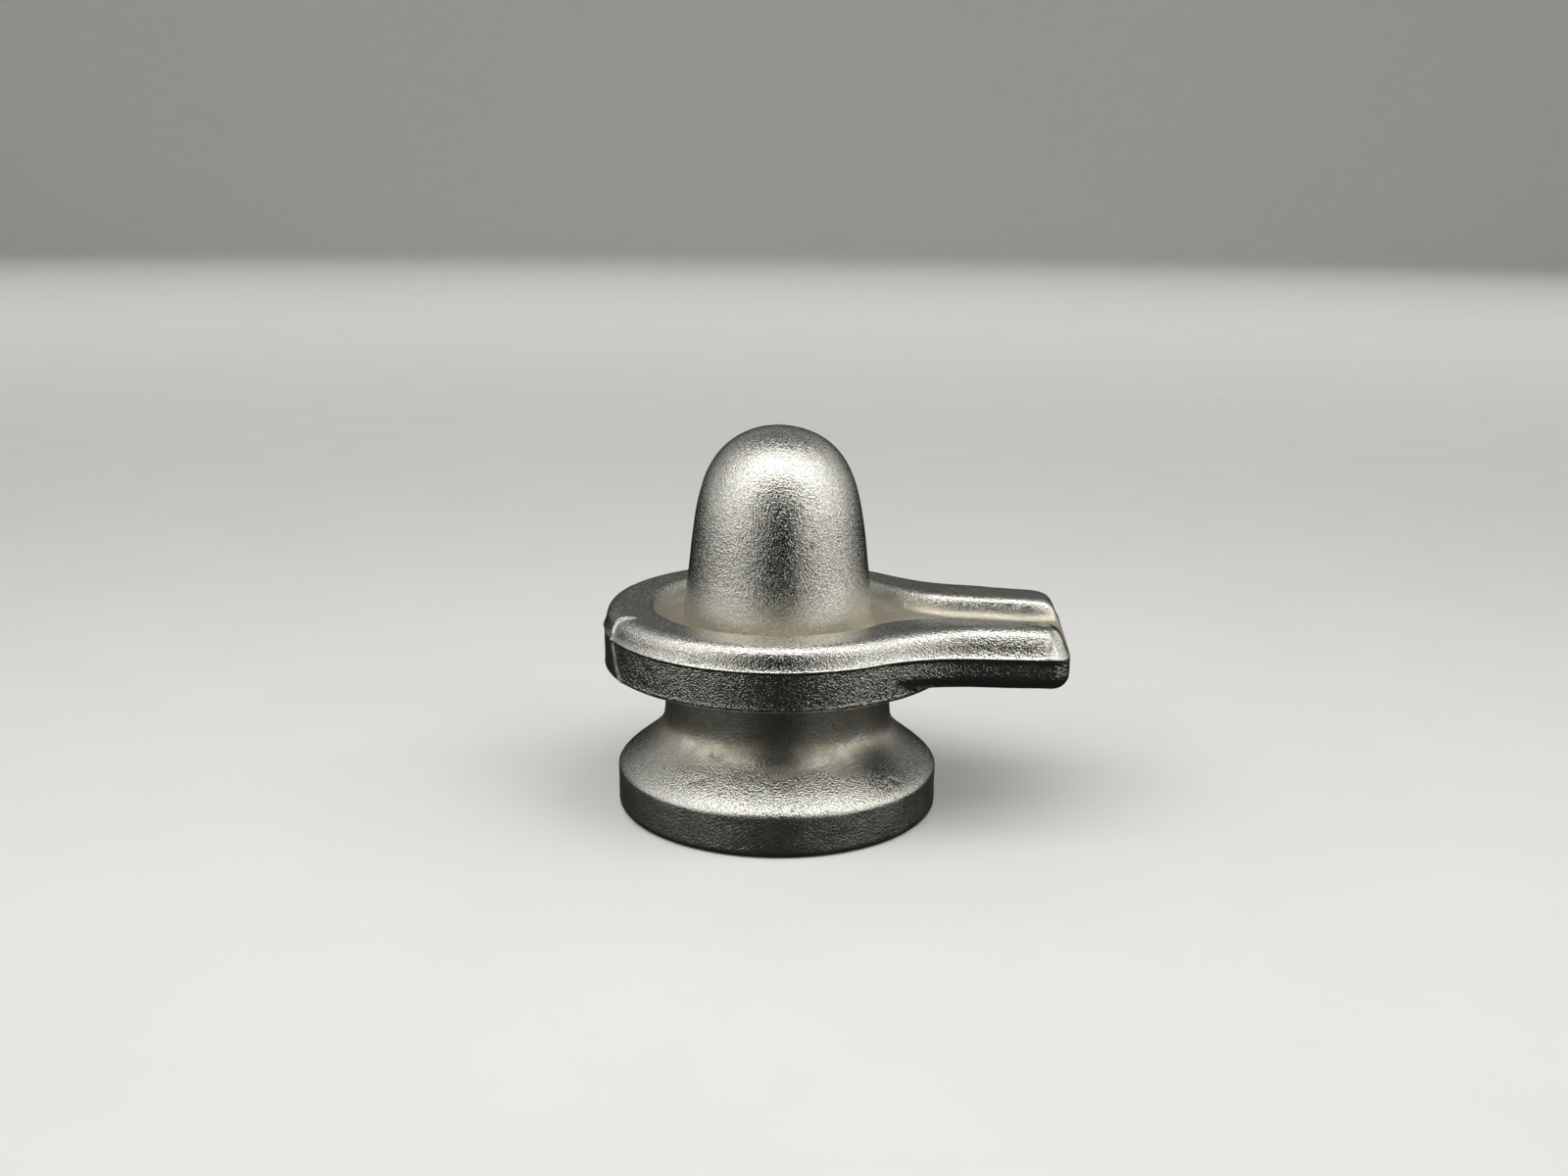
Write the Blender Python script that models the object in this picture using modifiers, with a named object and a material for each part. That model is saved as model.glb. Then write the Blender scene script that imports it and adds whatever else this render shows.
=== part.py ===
"""A small cast-metal shiva lingam that stands on its own round foot.

It is one casting. A flared foot and a neck carry a round drum, a tray with a
spout lies over the drum, and a domed lingam rises from the tray's basin.
+X runs along the spout, +Z is up, and the origin is the centre of the foot's
flat underside. Lengths are in metres and angles in degrees.
"""

import math

import bmesh
import bpy

# Foot, its swept shoulder and the neck
FOOT_RADIUS = 0.0160
FOOT_WALL = 0.0041
FOOT_EDGE = 0.0006
SWEEP_RISE = 0.0052
SHOULDER_LEAN = 24.0
SHOULDER_PULL = 0.27
COVE_PULL = 0.38
NECK_RADIUS = 0.01125
NECK_LENGTH = 0.0053
NECK_FILLET = 0.0010

# Drum under the tray
DRUM_RADIUS = 0.01716
DRUM_EDGE = 0.00025
DRUM_REACH_INTO_TRAY = 0.0031

# Tray, measured in from the outline of its ledge
LEDGE_RADIUS = 0.0173
UNDERSIDE_STEP = 0.00055
LOWER_TIER = 0.0033
LOWER_ROUND = 0.0016
LEDGE_OVERHANG = 0.00030
LEDGE_SOFTENING = 0.00012
UPPER_TIER = 0.0022
UPPER_SETBACK = 0.00075
UPPER_ROUND = 0.00085
COVE_DEPTH = 0.00028

# Spout
SPOUT_REACH = 0.0282
SPOUT_TIP_HALF_WIDTH = 0.0092
SPOUT_TAPER = 6.0
SPOUT_BLEND = 0.0160
SPOUT_CORNER = 0.0021
SPOUT_DROOP = 1.1
SPOUT_DROOP_START = 0.0105
TIP_ROLL = 0.00045
TIP_ROLL_LENGTH = 0.0024

# Basin and the channel that runs out of it
BASIN_RADIUS = 0.0130
TROUGH_DEPTH = 0.00195
TROUGH_LIP = 0.00055
TROUGH_FLOOR_ROUND = 0.00105
CHANNEL_TIP_HALF_WIDTH = 0.0040
CHANNEL_TAPER = 0.8
CHANNEL_BLEND = 0.0100
CUT_CLEARANCE = 0.0015

# Lingam
LINGAM_RADIUS = 0.00945
LINGAM_HEIGHT = 0.01938
LINGAM_DRAFT = 0.107
LINGAM_CROWN_POWER = 6.27
LINGAM_ROOT = 0.0006
LINGAM_FLARE = 0.00020

# Fineness of the curves
TURN_STEPS = 64
LINGAM_TURN_STEPS = 56
RING_STEPS = 24
BLEND_STEPS = 7
SIDE_STEPS = 4
CORNER_STEPS = 4
SWEEP_STEPS = 9
CROWN_STEPS = 17
ROUND_STEPS = 4
MERGE_DISTANCE = 0.000001

# Heights that the sizes above add up to
NECK_FOOT_Z = FOOT_WALL + SWEEP_RISE
DRUM_UNDERSIDE_Z = NECK_FOOT_Z + NECK_LENGTH
TRAY_UNDERSIDE_Z = DRUM_UNDERSIDE_Z + UNDERSIDE_STEP
LEDGE_Z = TRAY_UNDERSIDE_Z + LOWER_TIER
TRAY_TOP_Z = LEDGE_Z + UPPER_TIER
FLOOR_Z = TRAY_TOP_Z - TROUGH_DEPTH
DRUM_TOP_Z = min(TRAY_UNDERSIDE_Z + DRUM_REACH_INTO_TRAY, FLOOR_Z - DRUM_EDGE)

PART_NAME = "shiva_lingam"
METAL_COLOUR = (0.66, 0.64, 0.60, 1.0)
METAL_ROUGHNESS = 0.34


def clear_scene():
    """Remove whatever the opened file holds."""
    for item in list(bpy.data.objects):
        bpy.data.objects.remove(item, do_unlink=True)


def new_collection(name):
    """Return a new collection linked to the scene."""
    collection = bpy.data.collections.new(name)
    bpy.context.scene.collection.children.link(collection)
    return collection


def cast_metal():
    """Return the satin silver-white metal of the casting."""
    material = bpy.data.materials.new("cast_white_metal")
    material.use_nodes = True
    shader = material.node_tree.nodes["Principled BSDF"]
    shader.inputs["Base Color"].default_value = METAL_COLOUR
    shader.inputs["Metallic"].default_value = 1.0
    shader.inputs["Roughness"].default_value = METAL_ROUGHNESS
    return material


def arc(centre, radius, start, end, steps):
    """Return the points of an arc, from one angle to another."""
    points = []
    for step in range(steps + 1):
        angle = math.radians(start + (end - start) * step / steps)
        points.append((centre[0] + radius * math.cos(angle), centre[1] + radius * math.sin(angle)))
    return points


def bezier(start, start_handle, end_handle, end, steps):
    """Return the points of a cubic curve between two ends."""
    points = []
    for step in range(steps + 1):
        t = step / steps
        weights = ((1 - t) ** 3, 3 * t * (1 - t) ** 2, 3 * t * t * (1 - t), t ** 3)
        corners = (start, start_handle, end_handle, end)
        points.append(tuple(sum(w * c[axis] for w, c in zip(weights, corners)) for axis in (0, 1)))
    return points


def foot_profile():
    """Return the outer side of drum, neck and foot, from top to bottom."""
    fillet_centre = (NECK_RADIUS + NECK_FILLET, DRUM_UNDERSIDE_Z - NECK_FILLET)
    lean = math.radians(SHOULDER_LEAN)
    shoulder = SHOULDER_PULL * SWEEP_RISE
    sweep = bezier(
        (NECK_RADIUS, NECK_FOOT_Z),
        (NECK_RADIUS, NECK_FOOT_Z - COVE_PULL * SWEEP_RISE),
        (FOOT_RADIUS - shoulder * math.sin(lean), FOOT_WALL + shoulder * math.cos(lean)),
        (FOOT_RADIUS, FOOT_WALL),
        SWEEP_STEPS,
    )
    return [
        (0.0, DRUM_TOP_Z),
        (DRUM_RADIUS, DRUM_TOP_Z),
        (DRUM_RADIUS, DRUM_UNDERSIDE_Z + DRUM_EDGE),
        (DRUM_RADIUS - DRUM_EDGE, DRUM_UNDERSIDE_Z),
        *arc(fillet_centre, NECK_FILLET, 90, 180, ROUND_STEPS),
        *sweep,
        *arc((FOOT_RADIUS - FOOT_EDGE, FOOT_EDGE), FOOT_EDGE, 0, -90, 2),
        (0.0, 0.0),
    ]


def lingam_profile():
    """Return the domed side of the lingam, from its crown down into the basin floor."""
    points = [(0.0, FLOOR_Z + LINGAM_HEIGHT)]
    for step in range(1, CROWN_STEPS + 1):
        share = math.cos(math.radians(90 * step / CROWN_STEPS)) ** 0.8
        crown = math.sqrt(1 - share ** LINGAM_CROWN_POWER)
        rise = share * LINGAM_HEIGHT
        flare = LINGAM_FLARE * math.exp(-rise / LINGAM_FLARE)
        points.append(((LINGAM_RADIUS - LINGAM_DRAFT * rise) * crown + flare, FLOOR_Z + rise))
    points.append((points[-1][0], FLOOR_Z - LINGAM_ROOT))
    points.append((0.0, FLOOR_Z - LINGAM_ROOT))
    return points


def turned(name, profile, steps, collection):
    """Return a turned object whose profile runs down its outer side."""
    mesh = bpy.data.meshes.new(name)
    vertices = [(radius, 0.0, height) for radius, height in profile]
    mesh.from_pydata(vertices, [(i, i + 1) for i in range(len(vertices) - 1)], [])
    item = bpy.data.objects.new(name, mesh)
    collection.objects.link(item)
    screw = item.modifiers.new("turn", "SCREW")
    screw.steps = steps
    screw.render_steps = steps
    screw.use_merge_vertices = True
    screw.merge_threshold = MERGE_DISTANCE
    screw.use_smooth_shade = True
    return item


def keyhole(radius, blend, tip_half_width, taper, reach, corner):
    """Return half the outline of a round plan that runs out into a spout.

    The points go from the side away from the spout, round the +Y side, to the
    middle of the tip. The side of the spout closes in by the taper towards the
    tip, and an arc of the blend radius joins it to the round part.
    """
    slope = math.radians(taper)
    along = (math.cos(slope), -math.sin(slope))
    outward = (math.sin(slope), math.cos(slope))
    side = reach * outward[0] + tip_half_width * outward[1]
    shift = math.sqrt((radius + blend) ** 2 - (side + blend) ** 2)
    centre = tuple((side + blend) * outward[k] + shift * along[k] for k in (0, 1))
    leave = math.degrees(math.atan2(centre[1], centre[0]))
    ring = arc((0.0, 0.0), radius, 180, leave, RING_STEPS)
    neck = arc(centre, blend, leave + 180, 270 - taper, BLEND_STEPS)[1:]
    tip_x = reach - corner
    tip_y = (side - corner - tip_x * outward[0]) / outward[1]
    tip = arc((tip_x, tip_y), corner, 90 - taper, 0, CORNER_STEPS)
    sides = []
    for step in range(1, SIDE_STEPS):
        share = step / SIDE_STEPS
        sides.append(tuple(neck[-1][k] + (tip[0][k] - neck[-1][k]) * share for k in (0, 1)))
    return ring + neck + sides + tip + [(reach, 0.0)]


def settle(x, height):
    """Return how far the spout hangs below the level of the ring."""
    droop = math.tan(math.radians(SPOUT_DROOP)) * max(0.0, x - SPOUT_DROOP_START)
    roll_share = max(0.0, x - SPOUT_REACH + TIP_ROLL_LENGTH) / TIP_ROLL_LENGTH
    above_ledge = max(0.0, height - LEDGE_Z) / UPPER_TIER
    return droop + TIP_ROLL * min(1.0, above_ledge) * roll_share ** 2


def half_loft(name, levels, collection):
    """Return a solid lofted up through half outlines and mirrored across XZ.

    Each level is a half outline and its height, and the faces at the bottom
    and the top close on the plane of the mirror.
    """
    first_outline, first_height = levels[0]
    last_outline, last_height = levels[-1]
    rows = [([(x, 0.0) for x, _ in first_outline], first_height)]
    rows += levels
    rows += [([(x, 0.0) for x, _ in last_outline], last_height)]
    shape = bmesh.new()
    grid = []
    for outline, height in rows:
        grid.append([shape.verts.new((x, y, height - settle(x, height))) for x, y in outline])
    for lower, upper in zip(grid, grid[1:]):
        for i in range(len(lower) - 1):
            shape.faces.new((lower[i], upper[i], upper[i + 1], lower[i + 1]))
    bmesh.ops.remove_doubles(shape, verts=shape.verts, dist=MERGE_DISTANCE)
    mesh = bpy.data.meshes.new(name)
    shape.to_mesh(mesh)
    shape.free()
    item = bpy.data.objects.new(name, mesh)
    collection.objects.link(item)
    mirror = item.modifiers.new("other half", "MIRROR")
    mirror.use_axis = (False, True, False)
    mirror.merge_threshold = MERGE_DISTANCE
    return item


def tray_levels():
    """Return the tray's half outlines from its underside to its flat top."""
    side = []
    for step in range(ROUND_STEPS + 1):
        angle = math.radians(90 * step / ROUND_STEPS)
        inset = LEDGE_OVERHANG + LOWER_ROUND * (1 - math.sin(angle))
        side.append((inset, TRAY_UNDERSIDE_Z + LOWER_ROUND * (1 - math.cos(angle))))
    side.append((LEDGE_OVERHANG, LEDGE_Z - LEDGE_OVERHANG))
    side.append((0.0, LEDGE_Z))
    side.append((LEDGE_SOFTENING, LEDGE_Z + LEDGE_SOFTENING))
    round_foot_z = TRAY_TOP_Z - UPPER_ROUND
    for step in range(1, ROUND_STEPS):
        share = step / ROUND_STEPS
        inset = LEDGE_SOFTENING + (UPPER_SETBACK - LEDGE_SOFTENING) * share
        inset += COVE_DEPTH * math.sin(math.pi * share)
        rise = (round_foot_z - LEDGE_Z - LEDGE_SOFTENING) * share
        side.append((inset, LEDGE_Z + LEDGE_SOFTENING + rise))
    for step in range(ROUND_STEPS + 1):
        angle = math.radians(90 * step / ROUND_STEPS)
        inset = UPPER_SETBACK + UPPER_ROUND * (1 - math.cos(angle))
        side.append((inset, round_foot_z + UPPER_ROUND * math.sin(angle)))
    levels = []
    for inset, height in side:
        outline = keyhole(
            LEDGE_RADIUS - inset,
            SPOUT_BLEND + inset,
            SPOUT_TIP_HALF_WIDTH - inset,
            SPOUT_TAPER,
            SPOUT_REACH - inset,
            SPOUT_CORNER - inset,
        )
        levels.append((outline, height))
    return levels


def trough_levels():
    """Return the half outlines of the basin and channel, from floor to above the top."""
    side = []
    for step in range(ROUND_STEPS + 1):
        angle = math.radians(90 * step / ROUND_STEPS)
        inset = TROUGH_LIP + TROUGH_FLOOR_ROUND * (1 - math.sin(angle))
        side.append((inset, FLOOR_Z + TROUGH_FLOOR_ROUND * (1 - math.cos(angle))))
    for step in range(ROUND_STEPS):
        angle = math.radians(90 * step / ROUND_STEPS)
        inset = TROUGH_LIP * math.cos(angle)
        side.append((inset, TRAY_TOP_Z - TROUGH_LIP * (1 - math.sin(angle))))
    side.append((-TROUGH_LIP, TRAY_TOP_Z + TROUGH_LIP))
    levels = []
    for inset, height in side:
        outline = keyhole(
            BASIN_RADIUS - inset,
            CHANNEL_BLEND + inset,
            CHANNEL_TIP_HALF_WIDTH - inset,
            CHANNEL_TAPER,
            SPOUT_REACH + CUT_CLEARANCE,
            TROUGH_LIP,
        )
        levels.append((outline, height))
    return levels


def join(item, other, operation):
    """Add a Boolean of another object to an object and hide the other."""
    boolean = item.modifiers.new(other.name, "BOOLEAN")
    boolean.operation = operation
    boolean.solver = "EXACT"
    boolean.object = other
    other.hide_render = True
    other.display_type = "WIRE"


def build():
    """Build the casting from its four forms."""
    clear_scene()
    parts = new_collection("shiva lingam")
    guides = new_collection("forms joined or cut")
    casting = turned(PART_NAME, foot_profile(), TURN_STEPS, parts)
    tray = half_loft("tray_form", tray_levels(), guides)
    trough = half_loft("trough_form", trough_levels(), guides)
    lingam = turned("lingam_form", lingam_profile(), LINGAM_TURN_STEPS, guides)
    join(tray, trough, "DIFFERENCE")
    join(casting, tray, "UNION")
    join(casting, lingam, "UNION")
    casting.data.materials.append(cast_metal())


build()
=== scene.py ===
"""The looks of a small cast white-metal shiva lingam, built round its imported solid.

One finer piece replaces the faceted solid. It repeats the sizes of the casting and
adds what facets leave out: soft edges, slightly raised arms with a sunk tip, the
uneven cast skin, the mould seam, pits and nicks, and the satin metal with its warm
tarnish. +X runs along the spout and +Z is up. Lengths are in metres, and angles are
in degrees where nothing else is said.
"""

import logging
import math
from dataclasses import dataclass, field
from enum import Enum

import bpy
import numpy as np
from mathutils import Matrix, Vector, noise


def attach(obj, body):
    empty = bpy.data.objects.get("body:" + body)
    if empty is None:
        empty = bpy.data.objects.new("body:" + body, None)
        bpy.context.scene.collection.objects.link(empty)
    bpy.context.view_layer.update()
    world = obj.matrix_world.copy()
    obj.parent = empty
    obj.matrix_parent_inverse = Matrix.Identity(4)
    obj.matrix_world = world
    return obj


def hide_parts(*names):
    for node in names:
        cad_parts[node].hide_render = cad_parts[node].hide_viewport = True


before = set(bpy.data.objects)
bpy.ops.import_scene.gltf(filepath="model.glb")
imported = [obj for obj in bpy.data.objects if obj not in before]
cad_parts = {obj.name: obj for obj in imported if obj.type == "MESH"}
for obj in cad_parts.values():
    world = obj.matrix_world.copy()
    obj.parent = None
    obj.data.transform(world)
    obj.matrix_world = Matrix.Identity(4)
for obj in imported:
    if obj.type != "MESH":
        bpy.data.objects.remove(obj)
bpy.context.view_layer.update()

Array = np.ndarray
Colour = tuple[float, float, float]
Place = tuple[float, float, float]
Range = tuple[float, float]
Socket = bpy.types.NodeSocket
LOG = logging.getLogger("shiva_lingam")
MM = 0.001
TINY = 1e-20


class Stretch(Enum):
    """The stretches of half an outline, from its back to the middle of the spout's tip."""

    RING = "ring"
    BLEND = "blend"
    SIDE = "side"
    CORNER = "corner"
    ARM_END = "arm end"
    MOUTH_WALL = "mouth wall"
    MOUTH_FLOOR = "mouth floor"


class Slot(Enum):
    """The material slots of the record."""

    CAST_WHITE_METAL = "cast_white_metal"


class Mask(Enum):
    """The vertex attributes that the metal's material reads."""

    TARNISH = "tarnish"
    # The brown stain of neck and sweep, darkened as painted shade under the drum's overhang.
    STAIN = "stain"
    SEAM = "seam"
    FILED = "filed"
    DIRT = "dirt"
    WALL = "wall"


def arc_points(centre: tuple[float, float], radius: float, start: float, end: float, steps: int) -> Array:
    """Return the points of an arc.

    Args:
        centre: The arc's centre.
        radius: Its radius.
        start: The angle of its first point.
        end: The angle of its last point.
        steps: How many chords it has.

    Returns:
        The points, one a row.
    """
    angles = np.radians(np.linspace(start, end, steps + 1))
    return np.stack([centre[0] + radius * np.cos(angles), centre[1] + radius * np.sin(angles)], 1)


def bezier_points(corners: list[tuple[float, float]], steps: int) -> Array:
    """Return the points of a cubic curve.

    Args:
        corners: The start, its handle, the end's handle and the end.
        steps: How many chords the curve has.

    Returns:
        The points, one a row.
    """
    t = np.linspace(0, 1, steps + 1)[:, None]
    weights = ((1 - t) ** 3, 3 * t * (1 - t) ** 2, 3 * t * t * (1 - t), t ** 3)
    return sum(weight * np.array(corner) for weight, corner in zip(weights, corners))


def resample(points: Array, steps: int, weights: Array | None = None) -> Array:
    """Return points at even steps along a line.

    Args:
        points: The line's points, one a row.
        steps: How many steps the result has.
        weights: How much each chord counts, or None where they count alike.

    Returns:
        The new points, one a row.
    """
    chords = np.linalg.norm(np.diff(points, axis=0), axis=1)
    if weights is not None:
        chords = chords * weights
    travelled = np.concatenate([[0.0], np.cumsum(chords)])
    wanted = np.linspace(0, travelled[-1], steps + 1)
    return np.stack([np.interp(wanted, travelled, points[:, axis]) for axis in range(points.shape[1])], 1)


def smooth_step(values: Array, low: float, high: float) -> Array:
    """Return 0 below low, 1 above high and a soft rise between them."""
    share = np.clip((values - low) / (high - low), 0, 1)
    return share * share * (3 - 2 * share)


def cloud(points: Array, span: float, offset: float = 0.0) -> Array:
    """Return smooth noise from -1 to 1 whose lumps are about a span wide."""
    scaled = points / span + offset
    return np.array([noise.noise(Vector(point)) for point in scaled])


@dataclass(frozen=True)
class Lumps:
    """Smooth random lumps.

    The shift moves their pattern, so that two layers of lumps don't repeat each other.
    """

    height: float
    span: float
    shift: float = 0.0

    def at(self, points: Array) -> Array:
        """Return how high the lumps stand at points, from minus to plus their height."""
        return self.height * cloud(points, self.span, self.shift)


@dataclass(frozen=True)
class Keyhole:
    """Half the plan of a round tray or basin that runs out into a spout."""

    radius: float
    blend: float
    tip_half_width: float
    taper: float
    reach: float
    corner: float

    @property
    def slope(self) -> float:
        """The taper of the spout's side, in radians."""
        return math.radians(self.taper)

    @property
    def side(self) -> float:
        """The distance of the side's line from the axis."""
        return self.reach * math.sin(self.slope) + self.tip_half_width * math.cos(self.slope)

    @property
    def shift(self) -> float:
        """How far along the side's line the blend's centre stands."""
        return math.sqrt((self.radius + self.blend) ** 2 - (self.side + self.blend) ** 2)

    @property
    def leave(self) -> float:
        """The polar angle at which the blend leaves the ring, in radians."""
        centre = self.from_side(np.array(self.shift), np.array(self.side + self.blend))
        return math.atan2(centre[1], centre[0])

    @property
    def blend_turn(self) -> float:
        """The angle that the blend turns through, in radians."""
        return math.pi / 2 - self.slope - self.leave

    @property
    def tip_centre(self) -> tuple[float, float]:
        """The centre of the rounded corner at the tip."""
        x = self.reach - self.corner
        return x, (self.side - self.corner - x * math.sin(self.slope)) / math.cos(self.slope)

    def inset(self, depth: float) -> "Keyhole":
        """Draw this outline in.

        Args:
            depth: How far.

        Returns:
            The new outline.
        """
        return Keyhole(
            self.radius - depth,
            self.blend + depth,
            self.tip_half_width - depth,
            self.taper,
            self.reach - depth,
            self.corner - depth,
        )

    def from_side(self, along: Array, outward: Array) -> Array:
        """Return plan points from distances along the side's line and out from the axis."""
        cos, sin = math.cos(self.slope), math.sin(self.slope)
        return np.stack([along * cos + outward * sin, -along * sin + outward * cos], -1)

    def on_ring(self, angle: Array, depth: float = 0.0) -> Array:
        """Return points of the ring at polar angles, drawn in by a depth."""
        return (self.radius - depth) * np.stack([np.cos(angle), np.sin(angle)], -1)

    def on_blend(self, turn: Array, depth: float = 0.0) -> Array:
        """Return points of the blend between ring and spout.

        Args:
            turn: The angles past the blend's start, in radians.
            depth: How far the outline is drawn in.

        Returns:
            The plan points, one a row.
        """
        centre = self.from_side(np.array(self.shift), np.array(self.side + self.blend))
        angle = self.leave + math.pi + turn
        return centre + (self.blend + depth) * np.stack([np.cos(angle), np.sin(angle)], -1)


@dataclass
class Columns:
    """The lines of the mesh that run from the underside to the rim, round the casting.

    They go anticlockwise from the middle of the spout's tip.
    """

    ring_steps: int = 126
    blend_steps: int = 28
    side_steps: int = 18
    corner_steps: int = 12
    arm_end_steps: int = 10
    mouth_floor_steps: int = 6
    mouth_depths: Array = field(default_factory=lambda: np.zeros(0))
    seam_polar: float = 209.5
    seam_gather: float = 2.6
    seam_gather_width: float = 4.0
    fine_steps: int = 4000

    def ring_shares(self, gathered: bool, leave: float) -> Array:
        """Return how far round the ring its columns stand.

        Args:
            gathered: Whether they stand closer together at the seam.
            leave: The polar angle where the ring ends.

        Returns:
            The shares, from 0 at the back up to, but without, 1 at the blend.
        """
        fine = np.linspace(0, 1, self.fine_steps)
        polar = 180 - fine * (180 - leave)
        density = np.ones_like(fine)
        if gathered:
            off = (polar - (360 - self.seam_polar)) / self.seam_gather_width
            density += self.seam_gather * np.exp(-off ** 2)
        travelled = np.concatenate([[0.0], np.cumsum((density[1:] + density[:-1]) / 2)])
        wanted = np.linspace(0, travelled[-1], self.ring_steps + 1)[:-1]
        return np.interp(wanted, travelled, fine)

    def half(self, gathered: bool, leave: float) -> tuple[list[Stretch], list[float]]:
        """Return the stretches and shares of one half's columns, from back to tip.

        Args:
            gathered: Whether the ring's columns stand closer together at the seam.
            leave: The polar angle where the ring ends.

        Returns:
            The stretch of each column, and how far along it the column stands. On the
            mouth's walls that is the depth inside the channel's edge instead.
        """
        stretches = [Stretch.RING] * self.ring_steps
        shares = list(self.ring_shares(gathered, leave))
        for stretch, steps in (
            (Stretch.BLEND, self.blend_steps),
            (Stretch.SIDE, self.side_steps),
            (Stretch.CORNER, self.corner_steps),
        ):
            stretches += [stretch] * steps
            shares += [step / steps for step in range(steps)]
        stretches += [Stretch.ARM_END] * (self.arm_end_steps + 1)
        shares += [step / self.arm_end_steps for step in range(self.arm_end_steps + 1)]
        stretches += [Stretch.MOUTH_WALL] * (len(self.mouth_depths) - 1)
        shares += list(self.mouth_depths[1:])
        stretches += [Stretch.MOUTH_FLOOR] * self.mouth_floor_steps
        shares += [(step + 1) / self.mouth_floor_steps for step in range(self.mouth_floor_steps)]
        return stretches, shares

    def lay_out(self, leave: float) -> None:
        """Set the arrays that say where each column stands.

        Args:
            leave: The polar angle where the ring ends.
        """
        left, left_shares = self.half(False, leave)
        right, right_shares = self.half(True, leave)
        self.stretch = np.array([s.value for s in left[::-1] + right[1:-1]])
        self.share = np.array(left_shares[::-1] + right_shares[1:-1])
        self.hand = np.array([1.0] * len(left) + [-1.0] * (len(right) - 2))
        self.count = len(self.share)

    def which(self, *stretches: Stretch) -> Array:
        """Return a mask of the columns on some stretches."""
        return np.isin(self.stretch, [stretch.value for stretch in stretches])


@dataclass
class Grid:
    """The vertices and faces of the piece while it is being built."""

    blocks: list[Array] = field(default_factory=list)
    faces: list[Array] = field(default_factory=list)
    count: int = 0

    def row(self, xyz: Array) -> Array:
        """Add a row of vertices.

        Args:
            xyz: The vertices, one a row.

        Returns:
            Their numbers.
        """
        self.blocks.append(xyz)
        numbers = np.arange(self.count, self.count + len(xyz))
        self.count += len(xyz)
        return numbers

    def strip(self, lower: Array, upper: Array, closed: bool = True) -> None:
        """Join two rows with quads that face outwards."""
        quads = np.stack([lower, np.roll(lower, -1), np.roll(upper, -1), upper], 1)
        self.faces.append(quads if closed else quads[:-1])

    def fan(self, centre: int, ring: Array, facing_down: bool) -> None:
        """Close a ring onto one vertex.

        Args:
            centre: The vertex in the middle.
            ring: The ring's vertices, anticlockwise from above.
            facing_down: Whether the faces look down instead of up.
        """
        ends = np.roll(ring, -1)
        middle = np.full(len(ring), centre)
        self.faces.append(np.stack([ends, ring, middle] if facing_down else [ring, ends, middle], 1))

    @property
    def points(self) -> Array:
        """All vertices, one a row."""
        return np.concatenate(self.blocks)

    @property
    def polygons(self) -> list[list[int]]:
        """All faces as lists of vertex numbers."""
        return [polygon for block in self.faces for polygon in block.tolist()]

    def edges(self) -> Array:
        """Find the mesh's edges.

        Returns:
            The pairs of vertices that share an edge, one pair a row.
        """
        pairs = []
        for block in self.faces:
            pairs += [block[:, [k, (k + 1) % block.shape[1]]] for k in range(block.shape[1])]
        return np.unique(np.sort(np.concatenate(pairs), axis=1), axis=0)

    def normals(self, points: Array) -> Array:
        """Find the outward normals.

        Args:
            points: The vertices as they stand now, one a row.

        Returns:
            The normal at each vertex, one a row.
        """
        total = np.zeros_like(points)
        for block in self.faces:
            corner = [points[block[:, k]] for k in range(block.shape[1])]
            face = np.cross(corner[2] - corner[0], corner[-1] - corner[1])
            for k in range(block.shape[1]):
                np.add.at(total, block[:, k], face)
        return total / np.maximum(np.linalg.norm(total, axis=1, keepdims=True), TINY)


def soften(points: Array, edges: Array, weight: Array, passes: int) -> Array:
    """Round a mesh off by moving each vertex towards its neighbours.

    Args:
        points: The vertices, one a row.
        edges: The pairs of vertices that share an edge.
        weight: How far each vertex goes, from 0 to 1.
        passes: How often all of them move.

    Returns:
        The moved vertices.
    """
    ends = np.concatenate([edges, edges[:, ::-1]])
    degree = np.bincount(ends[:, 0], minlength=len(points))[:, None]
    for _ in range(passes):
        total = np.stack([
            np.bincount(ends[:, 0], points[ends[:, 1], axis], len(points)) for axis in range(3)
        ], 1)
        points = points + weight[:, None] * (total / degree - points)
    return points


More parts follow.
